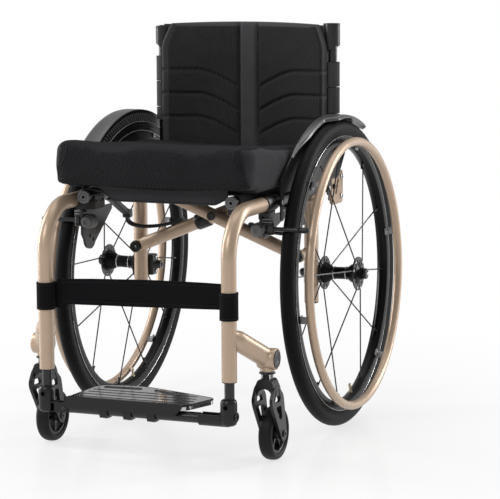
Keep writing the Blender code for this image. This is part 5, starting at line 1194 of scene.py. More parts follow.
@dataclass
class Caster(Assembly):
    """A caster: the arm from the front tube, the fork and the small wheel."""

    side: Side
    boss_z: float = 0.1945
    leg_gap: float = 0.0145
    leg_thickness: float = 0.006
    tyre_radius: float = 0.050
    hub_radius: float = 0.0377

    def arm(self) -> None:
        """The painted arm with its boss and swivel housing, and the plug in the boss."""
        s = self.side
        root, tip = s.at(FRAME_X, FRONT_TUBE_Y, 0.247), s.at(SWIVEL_X, SWIVEL_Y, self.boss_z)
        piece = Piece(f"{s.word}_caster_arm_casting", PAINT, MOULDED)
        path = [root.lerp(tip, step / 20) for step in range(21)]
        length = (tip - root).length
        sizes = [0.75 + 0.25 * eased(step / 20 * length, 0.004, 0.024) for step in range(21)]
        piece.add(swept(ring((0, 0), 0.0185, 40), path, None, sizes))
        out = Matrix.Translation(tip) @ Matrix.Rotation(s.value * pi / 2, 4, "Y")
        boss = [
            (0, -0.0170), (0.0150, -0.0170), (0.0185, -0.0150), (0.0198, -0.0110), (0.0200, 0.0180),
            (0.0192, 0.0192), (0.0180, 0.0192), (0.0170, 0.0180), (0.0170, 0.0165), (0, 0.0165),
        ]
        piece.add(lathed(boss, 48), 0, out)
        housing = [(0.0055, -0.0230), (0.0124, -0.0230), (0.0135, -0.0218), (0.0135, 0.004), (0.0055, 0.004)]
        piece.add(lathed(housing, 40), 0, Matrix.Translation(tip))
        self.stand(piece.finish(48, 0.0004), "champagne_paint", f"{s.word}_caster_arm")
        cap = [
            (0, 0.0160), (0.0168, 0.0160), (0.0168, 0.0190), (0.0160, 0.0200), (0.0138, 0.0204),
            (0.0132, 0.0198), (0.0060, 0.0200), (0.0050, 0.0194), (0, 0.0193),
        ]
        plug = Piece(f"{s.word}_caster_arm_plug", CAP_GREY).add(lathed(cap, 48), 0, out)
        self.stand(plug.finish(35), "grey_plastic", f"{s.word}_caster_arm_cap")

    def leg_outline(self) -> tuple[list[Point2], list[list[Point2]]]:
        """The fork leg's outline and its two openings, as (y, z) points."""
        foot = (CASTER_Y + AXLE_Y, CASTER_Z)
        swivel = SWIVEL_Y + AXLE_Y
        corners = [(swivel + 0.0135, 0.1440), (swivel - 0.0135, 0.1440), (swivel - 0.028, 0.122),
                   (swivel - 0.0253, 0.110)]
        bottom = arc(foot, 0.014, pi + radians(25), 2 * pi + radians(10), 16)
        outline = softened([*corners, bottom[0]], 0.007, 5)[:-5]
        outline += [*bottom, *softened([bottom[-1], (swivel + 0.030, 0.122), corners[0]], 0.009, 5)[6:11]]
        middle = swivel - 0.0075
        upper = [(middle - 0.004, 0.1300), (middle + 0.014, 0.1300), (middle + 0.022, 0.114),
                 (middle - 0.008, 0.114)]
        lower = [(middle, 0.106), (middle + 0.024, 0.106), (middle + 0.030, 0.080), (middle + 0.018, 0.080)]
        return outline, [softened(upper, 0.0045, 5), softened(lower, 0.0045, 5)]

    def fork(self) -> None:
        """The black fork with its stem, washer and wheel axle."""
        s = self.side
        outline, holes = self.leg_outline()
        piece = Piece(f"{s.word}_fork_casting", MOULDED, STEEL, ANODISED, DARK_STEEL)
        for hand in (-1, 1):
            faces = (self.leg_gap, self.leg_gap + self.leg_thickness)
            ends = s.span(*(SWIVEL_X + hand * gap for gap in faces))
            piece.add(plate(outline, Axis.X, ends[0], ends[1], holes))
        reach = self.leg_gap + self.leg_thickness - 0.0004
        crown = [(reach, 0.126), (reach, 0.1410), (0.0125, 0.1576), (-0.0125, 0.1576), (-reach, 0.1410),
                 (-reach, 0.126)]
        inner = arc((0, 0.126), self.leg_gap - 0.0005, pi, 0, 14)
        arch = [*softened(crown, 0.005, 4)[5:-5], crown[-1], *inner, crown[0]]
        arch = [(s.value * SWIVEL_X + x, z) for x, z in arch]
        low, high = SWIVEL_Y + AXLE_Y - 0.0150, SWIVEL_Y + AXLE_Y + 0.0150
        piece.add(plate(arch, Axis.Y, low, high))
        for hand in (-1, 1):
            for offset in (-0.0085, 0.0085):
                foot = s.at(SWIVEL_X + hand * 0.0203, SWIVEL_Y + offset * 1.9, 0.119)
                head = s.at(SWIVEL_X + hand * 0.0203, SWIVEL_Y + offset * 0.6, 0.139)
                piece.add(swept(rounded(0.0022, 0.0030, 0.0008, 2), [foot, head], ACROSS))
        centre = s.at(SWIVEL_X, SWIVEL_Y, 0)
        stem = [(0, 0.150), (0.0050, 0.150), (0.0050, 0.197), (0.0044, 0.198), (0, 0.198)]
        piece.add(lathed(stem, 24), 1, Matrix.Translation(centre))
        washer = bush(0.005, 0.0154, 0.1668, 0.1694, (0.0006, 0.0006))
        piece.add(lathed(washer, 40), 2, Matrix.Translation(centre))
        seat = [(0.005, 0.1575), (0.0098, 0.1575), (0.0086, 0.1600), (0.0086, 0.1669), (0.005, 0.1669)]
        piece.add(lathed(seat, 36), 0, Matrix.Translation(centre))
        for turn in range(4):
            angle = pi / 4 + turn * pi / 2
            pin = centre + Vector((0.0112 * cos(angle), 0.0112 * sin(angle), 0.1575))
            piece.add(stud(0.0014, 0.0094, 0.0003, 12), 1, Matrix.Translation(pin))
        frame = caster_frame(s)
        piece.add(tube([frame @ Vector((0, 0, z)) for z in (-0.020, 0.020)], 0.0040, 20), 1)
        for hand in (-1, 1):
            spot = frame @ Vector((0, 0, hand * (self.leg_gap + self.leg_thickness - 0.0002)))
            piece.screw(spot, Vector((hand * s.value, 0, 0)), 0.0066, 0.0030, 3)
        self.stand(piece.finish(40, 0.0009), "black_plastic", f"{s.word}_caster_fork")

    def wheel(self) -> None:
        """The small wheel: a five-spoked hub and its solid tyre."""
        s, r = self.side, self.hub_radius
        frame = caster_frame(s)
        piece = Piece(f"{s.word}_caster_spokes", MOULDED, STEEL)
        rim = [(r, 0.0096), (r - 0.0020, 0.0100), (0.0322, 0.0092), (0.0312, 0.0040)]
        piece.add(lathed(softened(mirrored(rim), 0.0008, 2), 72), 0, frame)
        barrel = [(0.0045, 0.0135), (0.0088, 0.0135), (0.0098, 0.0125), (0.0112, 0.0045)]
        piece.add(lathed(mirrored(barrel), 40), 0, frame)
        piece.add(lathed(mirrored([(0.0043, 0.0136), (0.0066, 0.0136)]), 32), 1, frame)
        spoke = softened(mirrored([(0.0095, 0.0042), (0.0200, 0.0025), (0.0318, 0.0050)]), 0.004, 4)
        for index in range(CASTER_SPOKES):
            turn = frame @ Matrix.Rotation(2 * pi * (index + 0.5) / CASTER_SPOKES, 4, "Z")
            piece.add(plate(spoke, Axis.Z, -0.0055, 0.0055), 0, turn)
        self.stand(piece.finish(40, 0.0008), "black_plastic", f"{s.word}_caster_hub")
        half = [(r - 0.0008, 0.0104), (r + 0.0024, 0.0128), (r + 0.0056, 0.0134), (r + 0.0090, 0.0120),
                (r + 0.0113, 0.0082), (0.0499, 0.0040)]
        profile = mirrored(half, (self.tyre_radius, 0))
        cover = Piece(f"{s.word}_caster_tread", CASTER_RUBBER)
        cover.add(lathed(softened(profile, 0.001, 2), 72), 0, frame)
        self.stand(cover.finish(50), "tyre_rubber", f"{s.word}_caster_tyre")

    def build(self) -> None:
        """Makes every piece of the caster."""
        self.arm()
        self.fork()
        self.wheel()


@dataclass
class Footrest(Assembly):
    """The inner legs with their elbows, and the hinged footrest with its plate."""

    pivot_x: float = -0.146
    bar_radius: float = 0.010
    plate_left: float = -0.1365
    plate_width: float = 0.265
    front: float = -0.468
    depth: float = 0.145
    top: float = 0.113

    def leg(self, side: Side) -> None:
        """An inner leg, its elbow, and the cradle or hinge lugs for the bar."""
        piece = Piece(f"{side.word}_leg_and_elbow", ANODISED, MOULDED, DARK_STEEL, PAINTED_HOLE_SHADE)
        piece.add(tube([side.at(FRAME_X, FRONT_TUBE_Y, z) for z in (0.120, 0.200)], 0.0092, 32))
        elbow = [(0, 0.0815), (0.0100, 0.0820), (0.0135, 0.0842), (0.0152, 0.0885), (0.0155, 0.0930),
                 (0.0155, 0.1215), (0.0151, 0.1252), (0.0138, 0.1284), (0.0114, 0.1303), (0, 0.1308)]
        piece.add(lathed(elbow, 44), 1, Matrix.Translation(side.at(FRAME_X, ELBOW_Y, 0)))
        face = side.at(FRAME_X, ELBOW_Y - 0.0151, 0.1170)
        bezel = [(0.0043, -0.0006), (0.0056, -0.0006), (0.0056, 0.0005), (0.0043, 0.0008)]
        piece.add(lathed(bezel, 28), 1, facing(face, FORWARD))
        # A black disc inside the bezel: painted shade standing for the hole there.
        piece.add(stud(0.0044, 0.0004, 0.0001), 3, facing(face, FORWARD))
        outer = side.at(FRAME_X + 0.0150, ELBOW_Y, FOOT_BAR_Z + 0.0060)
        piece.add(ringed_cap(0.0086, 0.0020), 1, facing(outer, side.out))
        if side is Side.LEFT:
            self.cradle(piece)
        else:
            self.lugs(piece)
        self.stand(piece.finish(42, 0.0006), "black_anodised", f"{side.word}_leg_elbow")

    def cradle(self, piece: Piece) -> None:
        """Adds the open cradle that the bar's tip rests in."""
        y, z = ELBOW_Y + AXLE_Y, FOOT_BAR_Z
        outside, inside, lip = 0.0135, 0.0107, z + 0.0092
        profile = [
            (y - outside, lip), *arc((y, z), outside, pi, 2 * pi, 20), (y + outside, lip),
            (y + inside, lip), *arc((y, z), inside, 2 * pi, pi, 20), (y - inside, lip),
        ]
        piece.add(plate(profile, Axis.X, 0.128, 0.172), 1)
        piece.add(tube([at(0.167, ELBOW_Y, z), at(FRAME_X, ELBOW_Y, z)], outside, 36), 1)

    def lugs(self, piece: Piece) -> None:
        """Adds the hinge's two lugs and its pin."""
        y, z = ELBOW_Y, FOOT_BAR_Z
        piece.add(block(at(-FRAME_X, y - 0.0090, z - 0.0095), at(-0.1625, y + 0.0090, z + 0.0095), 0.002), 1)
        outline = [*arc((self.pivot_x, z), 0.0095, -pi / 2, pi / 2, 14), (-0.176, z + 0.0095),
                   (-0.176, z - 0.0095)]
        for hand in (-1, 1):
            ends = sorted(y + AXLE_Y + hand * reach for reach in (0.0053, 0.0090))
            piece.add(plate(outline, Axis.Y, ends[0], ends[1]), 1)
            piece.screw(at(self.pivot_x, y + hand * 0.0088, z), Vector((0, hand, 0)), 0.0042, 0.0012, 2)
        piece.add(tube([at(self.pivot_x, y + reach, z) for reach in (-0.009, 0.009)], 0.0030, 20), 2)

    def bar(self) -> None:
        """The footrest bar, with the tongue that turns on the hinge pin."""
        y, z = ELBOW_Y, FOOT_BAR_Z
        piece = Piece("footrest_cross_bar", ANODISED, MOULDED)
        start, tip = at(-0.1340, y, z), at(0.1288, y, z)
        piece.add(tube([start, tip], self.bar_radius, 36))
        piece.add(dome(self.bar_radius - 0.0002, 0.0032, 0.0016), 1, facing(tip, ACROSS))
        root = facing(at(-0.1325, y, z), Side.RIGHT.out)
        piece.add(dome(self.bar_radius + 0.0003, 0.0030, 0.0016), 1, root)
        outline = [*arc((self.pivot_x, z), 0.0092, pi / 2, 3 * pi / 2, 14), (-0.128, z - 0.0092),
                   (-0.128, z + 0.0092)]
        hole = ring((self.pivot_x, z), 0.0035, 16)
        piece.add(plate(outline, Axis.Y, y + AXLE_Y - 0.005, y + AXLE_Y + 0.005, [hole]), 1)
        self.stand(piece.finish(40, 0.0004), "black_anodised", "footrest_bar")

    def outline(self, inset: float = 0.0) -> list[Point2]:
        """The footplate's outline, drawn in by an inset, as frame (x, y) points."""
        left, width = self.plate_left, self.plate_width
        right, back, front = left + width, self.front + self.depth + AXLE_Y, self.front + AXLE_Y
        shares = ((0.0, 0.393), (0.308, 0.200), (0.621, 0.014), (0.742, 0.0), (0.934, 0.090), (0.983, 0.193))
        corners = [(left, front), (right - width * 0.104, front + 0.006)]
        corners += [(right - width * across, back - self.depth * ahead) for across, ahead in shares]
        middle = Vector((left + width * 0.45, front + self.depth * 0.45))
        drawn = []
        for corner in corners:
            away = Vector(corner) - middle
            drawn.append(tuple(Vector(corner) - away.normalized() * inset * 1.25))
        return softened(drawn, 0.016, 7)

    def footplate(self) -> None:
        """The footplate: a thin pale deck, its paleness partly painted reflection, with a raised rim, ribs,
        openings and a front lip.
        """
        piece = Piece("footplate_deck", DECK_AND_PAINTED_REFLECTION, MOULDED, STEEL)
        slots = [
            softened([(-0.112, -0.262), (-0.040, -0.256), (-0.034, -0.270), (-0.112, -0.276)], 0.006, 5),
            softened([(-0.010, -0.262), (0.052, -0.282), (0.058, -0.296), (-0.004, -0.278)], 0.006, 5),
        ]
        # The deck plate takes the pale finish, which is partly painted reflection.
        piece.add(plate(self.outline(), Axis.Z, 0.1040, self.top + 0.0012, slots))
        edge = [Vector((x, y, self.top - 0.0006)) for x, y in self.outline(0.0012)]
        piece.add(swept(ring((0, 0), 0.0023, 10), edge, None, None, True), 1)
        back, front = self.front + self.depth + AXLE_Y, self.front + AXLE_Y
        for index in range(4):
            y = front + 0.024 + 0.0215 * index
            left, right = self.plate_left + 0.014, self.plate_left + self.plate_width - 0.020 - 0.006 * index
            bar = [Vector((left, y, self.top + 0.0008)), Vector((right, y, self.top + 0.0008))]
            piece.add(swept(rounded(0.0034, 0.0020, 0.0008), bar, REARWARD), 1)
        for slot in slots:
            edge = [Vector((x, y, self.top + 0.0006)) for x, y in slot]
            piece.add(swept(ring((0, 0), 0.0013, 8), edge, None, None, True), 1)
        left, right = self.plate_left, self.plate_left + self.plate_width
        lip = [(left, 0.1168), (left, 0.0948), (right - 0.045, 0.0948), (right - 0.0345, 0.1055),
               (right - 0.029, 0.1168)]
        piece.add(plate(softened(lip, 0.005, 5), Axis.Y, front - 0.0018, front + 0.0057), 1)
        half = [(-0.0135, 0.105), (-0.0135, 0.0905), (-0.0100, 0.0790)]
        corners = [*half, *((-x, z) for x, z in reversed(half))]
        saddle = softened([(ELBOW_Y + AXLE_Y + x, z) for x, z in corners], 0.003, 3)
        hole = ring((ELBOW_Y + AXLE_Y, FOOT_BAR_Z), self.bar_radius + 0.0002, 28)
        for start in (-0.070, -0.022, 0.026):
            piece.add(plate(saddle, Axis.X, start, start + 0.016, [hole]), 1)
            piece.screw(at(start + 0.008, ELBOW_Y, 0.0790), DOWN, 0.0036, 0.0020, 2)
        for index in range(3):
            x = self.plate_left + 0.050 + 0.070 * index
            rear = back - 0.030 - 0.012 * (index == 2)
            fin = [Vector((x, front + 0.010, 0.1022)), Vector((x, rear, 0.1022))]
            piece.add(swept(rounded(0.003, 0.005, 0.001), fin, ACROSS), 0)
        self.stand(piece.finish(40, 0.0006), "black_plastic", "footplate")

    def build(self) -> None:
        """Makes every piece of the footrest."""
        for side in Side:
            self.leg(side)
        self.bar()
        self.footplate()


@dataclass
class GuardAndLock(Assembly):
    """A side guard with its flange over the tyre, and the wheel lock in front of it."""

    side: Side
    guard_x: float = 0.2035
    arc_radius: float = 0.309
    flange_reach: float = 0.0395
    front_end: float = radians(38)
    rear_end: float = radians(28)

    @property
    def flange_radius(self) -> float:
        """The radius of the flange's own line, over the guard's edge."""
        return self.arc_radius + 0.00125

    def flange_share(self, ahead: float) -> float:
        """How much of its full width the flange has, by the angle ahead of the top."""
        ends = 1 - 0.35 * eased(-ahead, radians(24), self.rear_end)
        if self.side is Side.RIGHT:
            return ends - 0.40 * eased(ahead, radians(33), self.front_end)
        narrow = 0.42 - 0.32 * eased(ahead, radians(22), self.front_end)
        return ends + (narrow - 1) * eased(ahead, radians(5), radians(10))

    def relief(self, piece: Piece, start: float, end: float) -> None:
        """Adds the slanted lugs and the thin light arcs on the guard's inner face."""

        def spot(radius: float, turn: float) -> Point2:
            return AXLE_Y + radius * cos(turn), AXLE_Z + radius * sin(turn)

        faces = self.side.span(self.guard_x - 0.0018, self.guard_x + 0.0004)
        count, wide, lean = 36, radians(0.85), radians(1.5)
        for index in range(count):
            turn = start + radians(1.0) + (end - start - radians(3.4)) * index / count
            lug = [spot(0.2895, turn), spot(0.3040, turn + lean), spot(0.3040, turn + lean + wide),
                   spot(0.2895, turn + wide)]
            piece.add(plate(lug, Axis.X, *faces), 4)
        lines = ((0.2870, 0.0010, 3), (0.2690, 0.0009, 3), (0.2810, 0.0007, 0), (0.2750, 0.0007, 0))
        for radius, girth, finish in lines:
            line = [Vector((faces[0] if self.side is Side.LEFT else faces[1], *place))
                    for place in arc((AXLE_Y, AXLE_Z), radius, start + radians(3), end - radians(2), 44)]
            piece.add(swept(ring((0, 0), girth, 8), line), finish)
        bolt = self.side.at(self.guard_x, 0.080, 0.5530)
        piece.screw(bolt, self.side.inward, 0.0042, 0.0024, 2)

    def guard(self) -> None:
        """The guard's dark face, satin flange, relief, bosses and screws."""
        s = self.side
        centre = (AXLE_Y, AXLE_Z)
        start, end = pi / 2 - self.rear_end, pi / 2 + self.front_end
        top = arc(centre, self.arc_radius + 0.0008, start, end, 40)
        strip = [AXLE_Y + place for place in (-0.247, -0.232)]
        corners = [(strip[0], 0.505), (strip[0], 0.430), (strip[1], 0.430), (strip[1], 0.482),
                   (AXLE_Y + 0.066, 0.482)]
        outline = [*top, *softened([top[-1], *corners, top[0]], 0.006, 5)[6:-6]]
        ends = s.span(self.guard_x, self.guard_x + 0.0025)
        piece = Piece(f"{s.word}_guard_panel", GUARD_DARK, GUARD_GREY_AND_PAINTED_SHEEN, STEEL, TAB_GREY, FINNED_GREY)
        piece.add(plate(outline, Axis.X, ends[0], ends[1]))
        tab = [(AXLE_Y + a, b) for a, b in ((0.004, 0.490), (0.004, 0.452), (0.024, 0.452), (0.024, 0.490))]
        piece.add(plate(softened(tab, 0.006, 5), Axis.X, ends[0] + 0.0002, ends[1] - 0.0002))
        path = [Vector((0, a, b)) for a, b in arc(centre, self.flange_radius, start, end, 90)]
        inner, outer = self.guard_x + 0.0012, self.guard_x + self.flange_reach
        section = [(inner, 0.0010), (inner, -0.0012), (outer - 0.010, -0.0012), (outer - 0.002, -0.0030),
                   (outer, -0.0062), (outer, -0.0030), (outer - 0.003, -0.0002), (outer - 0.010, 0.0012)]
        section = softened([(a * s.value, b) for a, b in section], 0.0016, 3)
        flange = swept(section, path, ACROSS)
        self.face_out(flange, centre)
        for vert in flange.verts:
            ahead = atan2(centre[0] - vert.co.y, vert.co.z - centre[1])
            vert.co.x = s.value * (inner + (abs(vert.co.x) - inner) * self.flange_share(ahead))
        # The flange takes the lighter satin grey, which is partly painted sheen.
        piece.add(flange, 1)
        self.relief(piece, start, end)
        for place, radius in ((-0.2395, 0.014), (0.014, 0.01275)):
            low = s.at(FRAME_X + radius - 0.0005, place, SEAT_TUBE_Z)
            high = s.at(self.guard_x + 0.001, place, SEAT_TUBE_Z)
            piece.add(tube([low, high], 0.0060, 24), 0)
            piece.screw(s.at(self.guard_x + 0.0025, place, SEAT_TUBE_Z), s.out, 0.0048, 0.0022, 2)
        self.stand(piece.finish(40, 0.0005), "guard_grey", f"{s.word}_side_guard")

    def face_out(self, flange: bmesh.types.BMesh, centre: Point2) -> None:
        """Turns the flange's section over if its rolled edge points away from the axle."""
        hub = Vector((0, *centre))
        edge = [vert.co for vert in flange.verts if abs(vert.co.x) > self.guard_x + 0.039]
        body = [vert.co for vert in flange.verts if abs(vert.co.x) < self.guard_x + 0.004]
        spans = [
            sum(hypot(co.y - hub.y, co.z - hub.z) for co in group) / len(group) for group in (edge, body)
        ]
        if spans[0] < spans[1]:
            return
        for vert in flange.verts:
            away = Vector((0, vert.co.y - hub.y, vert.co.z - hub.z))
            length = away.length
            vert.co += away * (2 * self.flange_radius / length - 2)

    def lock_plate(self) -> None:
        """The lock's plate, tube clamp and finned body. The left plate hangs less far down."""
        s = self.side
        front, rear = LEVER_Y + AXLE_Y - 0.0086, LEVER_Y + AXLE_Y + 0.0454
        foot, reach = ((-0.262, 0.387), 0.024) if s is Side.RIGHT else ((-0.268, 0.4150), 0.0150)
        spots = ((-0.2650, 0.3885), (-0.2510, 0.3800)) if s is Side.RIGHT else ((-0.2650, 0.4120),)
        corners = [(-0.295, 0.4420), (-0.295, foot[1] + 0.008),
                   *arc(foot, reach, radians(190), radians(330), 12),
                   (-0.166, 0.4310), (-0.166, 0.4400)]
        corners = [(a + AXLE_Y, b) for a, b in corners]
        holes = [ring((a + AXLE_Y, b), 0.0040, 20) for a, b in spots]
        ends = s.span(FRAME_X - 0.0025, FRAME_X + 0.0025)
        piece = Piece(f"{s.word}_lock_bracket", MOULDED, FINNED_GREY, DARK_STEEL, STEEL)
        piece.add(plate(corners, Axis.X, ends[0], ends[1], holes))
        grip = bush(0.0142, 0.0160, 0.0, 0.0510, (0.0006, 0.0010))
        mouth = Vector((s.value * FRAME_X, front + 0.0015, SEAT_TUBE_Z))
        piece.add(lathed(grip, 44), 0, facing(mouth, REARWARD))
        ear = [(FRAME_X - 0.0070, 0.451), (FRAME_X - 0.0070, 0.437), (FRAME_X + 0.0070, 0.437),
               (FRAME_X + 0.0070, 0.451)]
        ear = softened([(a * s.value, b) for a, b in ear], 0.003, 3)
        piece.add(plate(ear, Axis.Y, front + 0.002, rear - 0.002))
        for spot in (front + 0.012, rear - 0.012):
            piece.screw(Vector((s.value * (FRAME_X - 0.0070), spot, 0.4435)), s.inward, 0.0034, 0.0022, 2)
        profile: list[Point2] = [(0, 0.0), (0.0125, 0.0)]
        for index in range(4):
            base = 0.0010 + 0.0060 * index
            profile += [(0.0135, base), (0.0135, base + 0.0034), (0.0117, base + 0.0042),
                        (0.0117, base + 0.0054)]
        profile += [(0.0112, 0.0256), (0.0092, 0.0276), (0.0045, 0.0280), (0.0045, 0.0262), (0, 0.0262)]
        ahead = facing(s.at(FRAME_X - 0.0085, -0.268, LEVER_Z - 0.002), FORWARD)
        piece.add(lathed(profile, 40), 1, ahead)
        for z in (0.4322, 0.4372):
            corners = [(0.1850, -0.2940), (0.2030, -0.2900), (0.2030, -0.2720), (0.1850, -0.2680)]
            fin = softened(corners, 0.004, 4)
            piece.add(plate(s.plan(fin), Axis.Z, z, z + 0.0024), 1)
        for hand in (-1, 1):
            heights = sorted(LEVER_Z + hand * reach for reach in (0.0075, 0.0105))
            eye = arc((LEVER_X, LEVER_Y + AXLE_Y), 0.0075, -pi / 2, pi / 2, 12)
            lug = [(FRAME_X, LEVER_Y + AXLE_Y - 0.0075), *eye, (FRAME_X, LEVER_Y + AXLE_Y + 0.0075)]
            piece.add(plate([(a * s.value, b) for a, b in lug], Axis.Z, heights[0], heights[1]))
            head = s.at(LEVER_X, LEVER_Y, LEVER_Z + hand * 0.0105)
            piece.screw(head, Vector((0, 0, hand)), 0.0042, 0.0010, 3)
        pin = [s.at(LEVER_X, LEVER_Y, LEVER_Z + reach) for reach in (-0.010, 0.010)]
        piece.add(tube(pin, 0.0030, 20), 2)
        self.stand(piece.finish(40, 0.0006), "black_plastic", f"{s.word}_lock_plate")

    def lever(self) -> None:
        """The lever whose bar presses on the tyre, with its knob."""
        s = self.side
        pivot = s.at(LEVER_X, LEVER_Y, LEVER_Z)
        out = s.out
        piece = Piece(f"{s.word}_lock_bar", ANODISED, MOULDED)
        piece.add(lathed(bush(0.0036, 0.0075, -0.0070, 0.0070), 32), 0, Matrix.Translation(pivot))
        piece.add(tube([pivot + out * 0.0045, pivot + out * 0.066], 0.0042, 28))
        knob = [(0, 0), (0.0046, 0), (0.0052, 0.002), (0.0055, 0.006), (0.0055, 0.018), (0.0048, 0.0205),
                (0.0028, 0.022), (0, 0.0224)]
        piece.add(lathed(knob, 32), 1, facing(pivot + out * 0.0556, out))
        for index in range(3):
            groove = facing(pivot + out * (0.0615 + 0.004 * index), out)
            rib = [(0.0050, 0), (0.0058, 0.0004), (0.0058, 0.0014), (0.0050, 0.0018)]
            piece.add(lathed(rib, 28), 1, groove)
        self.stand(piece.finish(40), "black_plastic", f"{s.word}_lock_lever")

    def build(self) -> None:
        """Makes every piece of the guard and the lock."""
        self.guard()
        self.lock_plate()
        self.lever()


@dataclass
class Backrest(Assembly):
    """The backrest: canes and brackets, the quilted pad, the shell behind it and its straps."""

    half_width: float = 0.1785
    low: float = 0.530
    high: float = 0.786
    seams: tuple[float, ...] = (0.593, 0.641, 0.689)
    channel: float = 0.020
    bend_x: float = 0.105
    seam_drop: float = 0.036
    folded_anchor: float = -0.1630
    folded_share: float = 0.225
    sleeve_top: dict[Side, float] = field(default_factory=lambda: {Side.LEFT: 0.7850, Side.RIGHT: 0.7765})
    straps: dict[Side, tuple[Point2, ...]] = field(default_factory=lambda: {
        Side.LEFT: ((0.6600, 0.7085), (0.6070, 0.6580), (0.5860, 0.6050)),
        Side.RIGHT: ((0.6655, 0.7155), (0.6130, 0.6640), (0.5860, 0.6110)),
    })

    def front_y(self, x: float) -> float:
        """How far back the pad's front is at a place across it."""
        return 0.100 - 0.0305 * (x / self.half_width) ** 2

    def rear_y(self, x: float) -> float:
        """How far back the pad's rear is at a place across it."""
        return self.front_y(x) + 0.026 - 0.0165 * (x / self.half_width) ** 2

    def width_at(self, z: float) -> float:
        """Half the pad's width at a height: its upper corners are cut."""
        return self.half_width - 0.0195 * max(0.0, (z - 0.735) / 0.051) ** 1.3

    def seam_at(self, x: float, z: float) -> float:
        """How close a place on the pad's front is to a seam, from 0 to 1."""
        near = ridge(abs(x) - self.channel, 0.0034)
        near = max(near, 0.7 * ridge(abs(x) - (self.width_at(z) - 0.0105), 0.0022))
        if abs(x) > self.channel:
            slant = min(1.0, max(0.0, (self.bend_x - abs(x)) / (self.bend_x - self.channel)))
            for seam in self.seams:
                near = max(near, 0.8 * ridge(z - seam + self.seam_drop * slant**1.5, 0.0032))
        return near

    def pad(self) -> None:
        """The quilted pad: an upright strip, slanted seams, a border and small creases."""

        def place(u: float, v: float, upper: bool) -> Vector:
            z = (self.low + self.high) / 2 + v * (self.high - self.low) / 2
            x = u * self.width_at(z)
            front, rear = self.front_y(x), self.rear_y(x)
            middle, half = (front + rear) / 2, (rear - front) / 2
            full = 0.30 + 0.70 * sqrt(max(0.0, (1 - abs(u) ** 14) * (1 - abs(v) ** 12)))
            z -= 0.0035 * abs(v) ** 8 * v * (u * u)
            if upper:
                return at(x, middle + half * full * 0.96, z)
            seam = self.seam_at(x, z)
            crease = noise.noise(Vector((x * 26, z * 34, 1.7))) * 0.0011 * (1 - seam)
            crown = 0.0016 * (1 - seam) * full
            return at(x, middle - half * full - crown + 0.0052 * seam * full + crease, z)

        piece = Piece("quilted_back_pad", BACK_MESH, BACK_CLOTH)
        shell = pillow(150, 120, place)
        for face in shell.faces:
            spot = face.calc_center_median()
            strip = abs(spot.x) < self.channel - 0.001
            border = abs(spot.x) > self.width_at(spot.z) - 0.0108 or spot.z > self.high - 0.009
            face.material_index = 1 if strip or border or spot.y - AXLE_Y > self.rear_y(spot.x) - 0.006 else 0
        piece.add(shell, -1)
        self.stitches(piece)
        made = piece.finish(70)
        self.flatten(made, "back_fabric", "back_pad")

    def stitches(self, piece: Piece) -> None:
        """Adds rows of short stitches beside the strip and along the border."""
        for line in (self.channel + 0.0042, -self.channel - 0.0042):
            for index in range(56):
                z = self.low + 0.010 + index * 0.0042
                y = self.front_y(line) - 0.0012
                low, high = at(line - 0.0003, y - 0.0004, z), at(line + 0.0003, y + 0.0006, z + 0.0026)
                piece.add(block(low, high, 0.0002, 1), 1)

    def flatten(self, made: bpy.types.Object, slot: str, *nodes: str) -> None:
        """Makes a piece stand for its nodes, with a mesh of its own."""
        self.stand(made, slot, *nodes)
        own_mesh(made)

    def shell(self) -> None:
        """The upholstery behind the pad, with its straps' middles."""
        end, steps = 0.1765, 48
        across = [end * (2 * step / steps - 1) for step in range(steps + 1)]
        front = [(x, self.rear_y(x) + 0.0008 + AXLE_Y) for x in across]
        rear = [(x, y + 0.0022) for x, y in reversed(front)]
        piece = Piece("back_upholstery", BACK_CLOTH, WEBBING)
        piece.add(plate([*front, *rear], Axis.Z, SHELL_LOW, SHELL_HIGH))
        for low, high in ((0.617, 0.655), (0.665, 0.704)):
            band = [(x, y + 0.0024) for x, y in front]
            back = [(x, y + 0.0018) for x, y in reversed(band)]
            piece.add(plate([*band, *back], Axis.Z, low, high), 1)
            path = [Vector((x, y + 0.0043, low + 0.0035)) for x, y in front[::2]]
            piece.add(swept(rounded(0.0010, 0.0006, 0.0002, 2), path, UP), 0)
        made = piece.finish(45, 0.0005)
        self.flatten(made, "back_fabric", "back_shell")
        arc_length = sum(hypot(b[0] - a[0], b[1] - a[1]) for a, b in zip(front, front[1:]))
        flat, canes = (arc_length, SHELL_HIGH - SHELL_LOW), ["left_cane_tube", "right_cane_tube"]
        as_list(canes)

    def wing(self, side: Side) -> None:
        """The upholstery's edge, its sleeve and the three straps that go round one cane."""
        piece = Piece(f"{side.word}_back_wraps", SLEEVE, BACK_CLOTH)
        centre = (FRAME_X, CANE_Y)
        apex, inner_apex = ((x, self.rear_y(x) + 0.0020) for x in (0.1665, 0.1702))
        edge = [(0.1670, 0.0852), (0.1765, 0.0828), (0.1768, 0.0846), (0.1670, 0.0870)]
        piece.add(plate(side.plan(edge), Axis.Z, 0.562, 0.760), 1)
        top = self.sleeve_top[side]
        bands = [(0.7300, top, 0.0138, 0), *((*band, 0.0132, 1) for band in self.straps[side])]
        for low, high, reach, finish in bands:
            hole = side.plan(lace(inner_apex, centre, reach - 0.0012))
            band = plate(side.plan(lace(apex, centre, reach + 0.0014)), Axis.Z, low, high, [hole])
            if finish == 0:
                self.curve_edge(band, low)
            piece.add(band, finish)
            for z in (low + 0.0035, high - 0.0035) if finish else (high - 0.0035,):
                row = [Vector((*spot, z)) for spot in side.plan(lace(apex, centre, reach + 0.0015)[4:-1])]
                piece.add(swept(rounded(0.0009, 0.0006, 0.0002, 2), row, UP), finish)
        self.join(piece.finish(50, 0.0005), "back_fabric", f"{side.word}_frame")

    def curve_edge(self, band: bmesh.types.BMesh, low: float) -> None:
        """Lifts the sleeve's lower edge on its outboard side, as the cloth is cut in a curve."""
        for vert in band.verts:
            if vert.co.z < low + 1e-6:
                vert.co.z += 0.011 * eased(abs(vert.co.x), 0.176, 0.198)

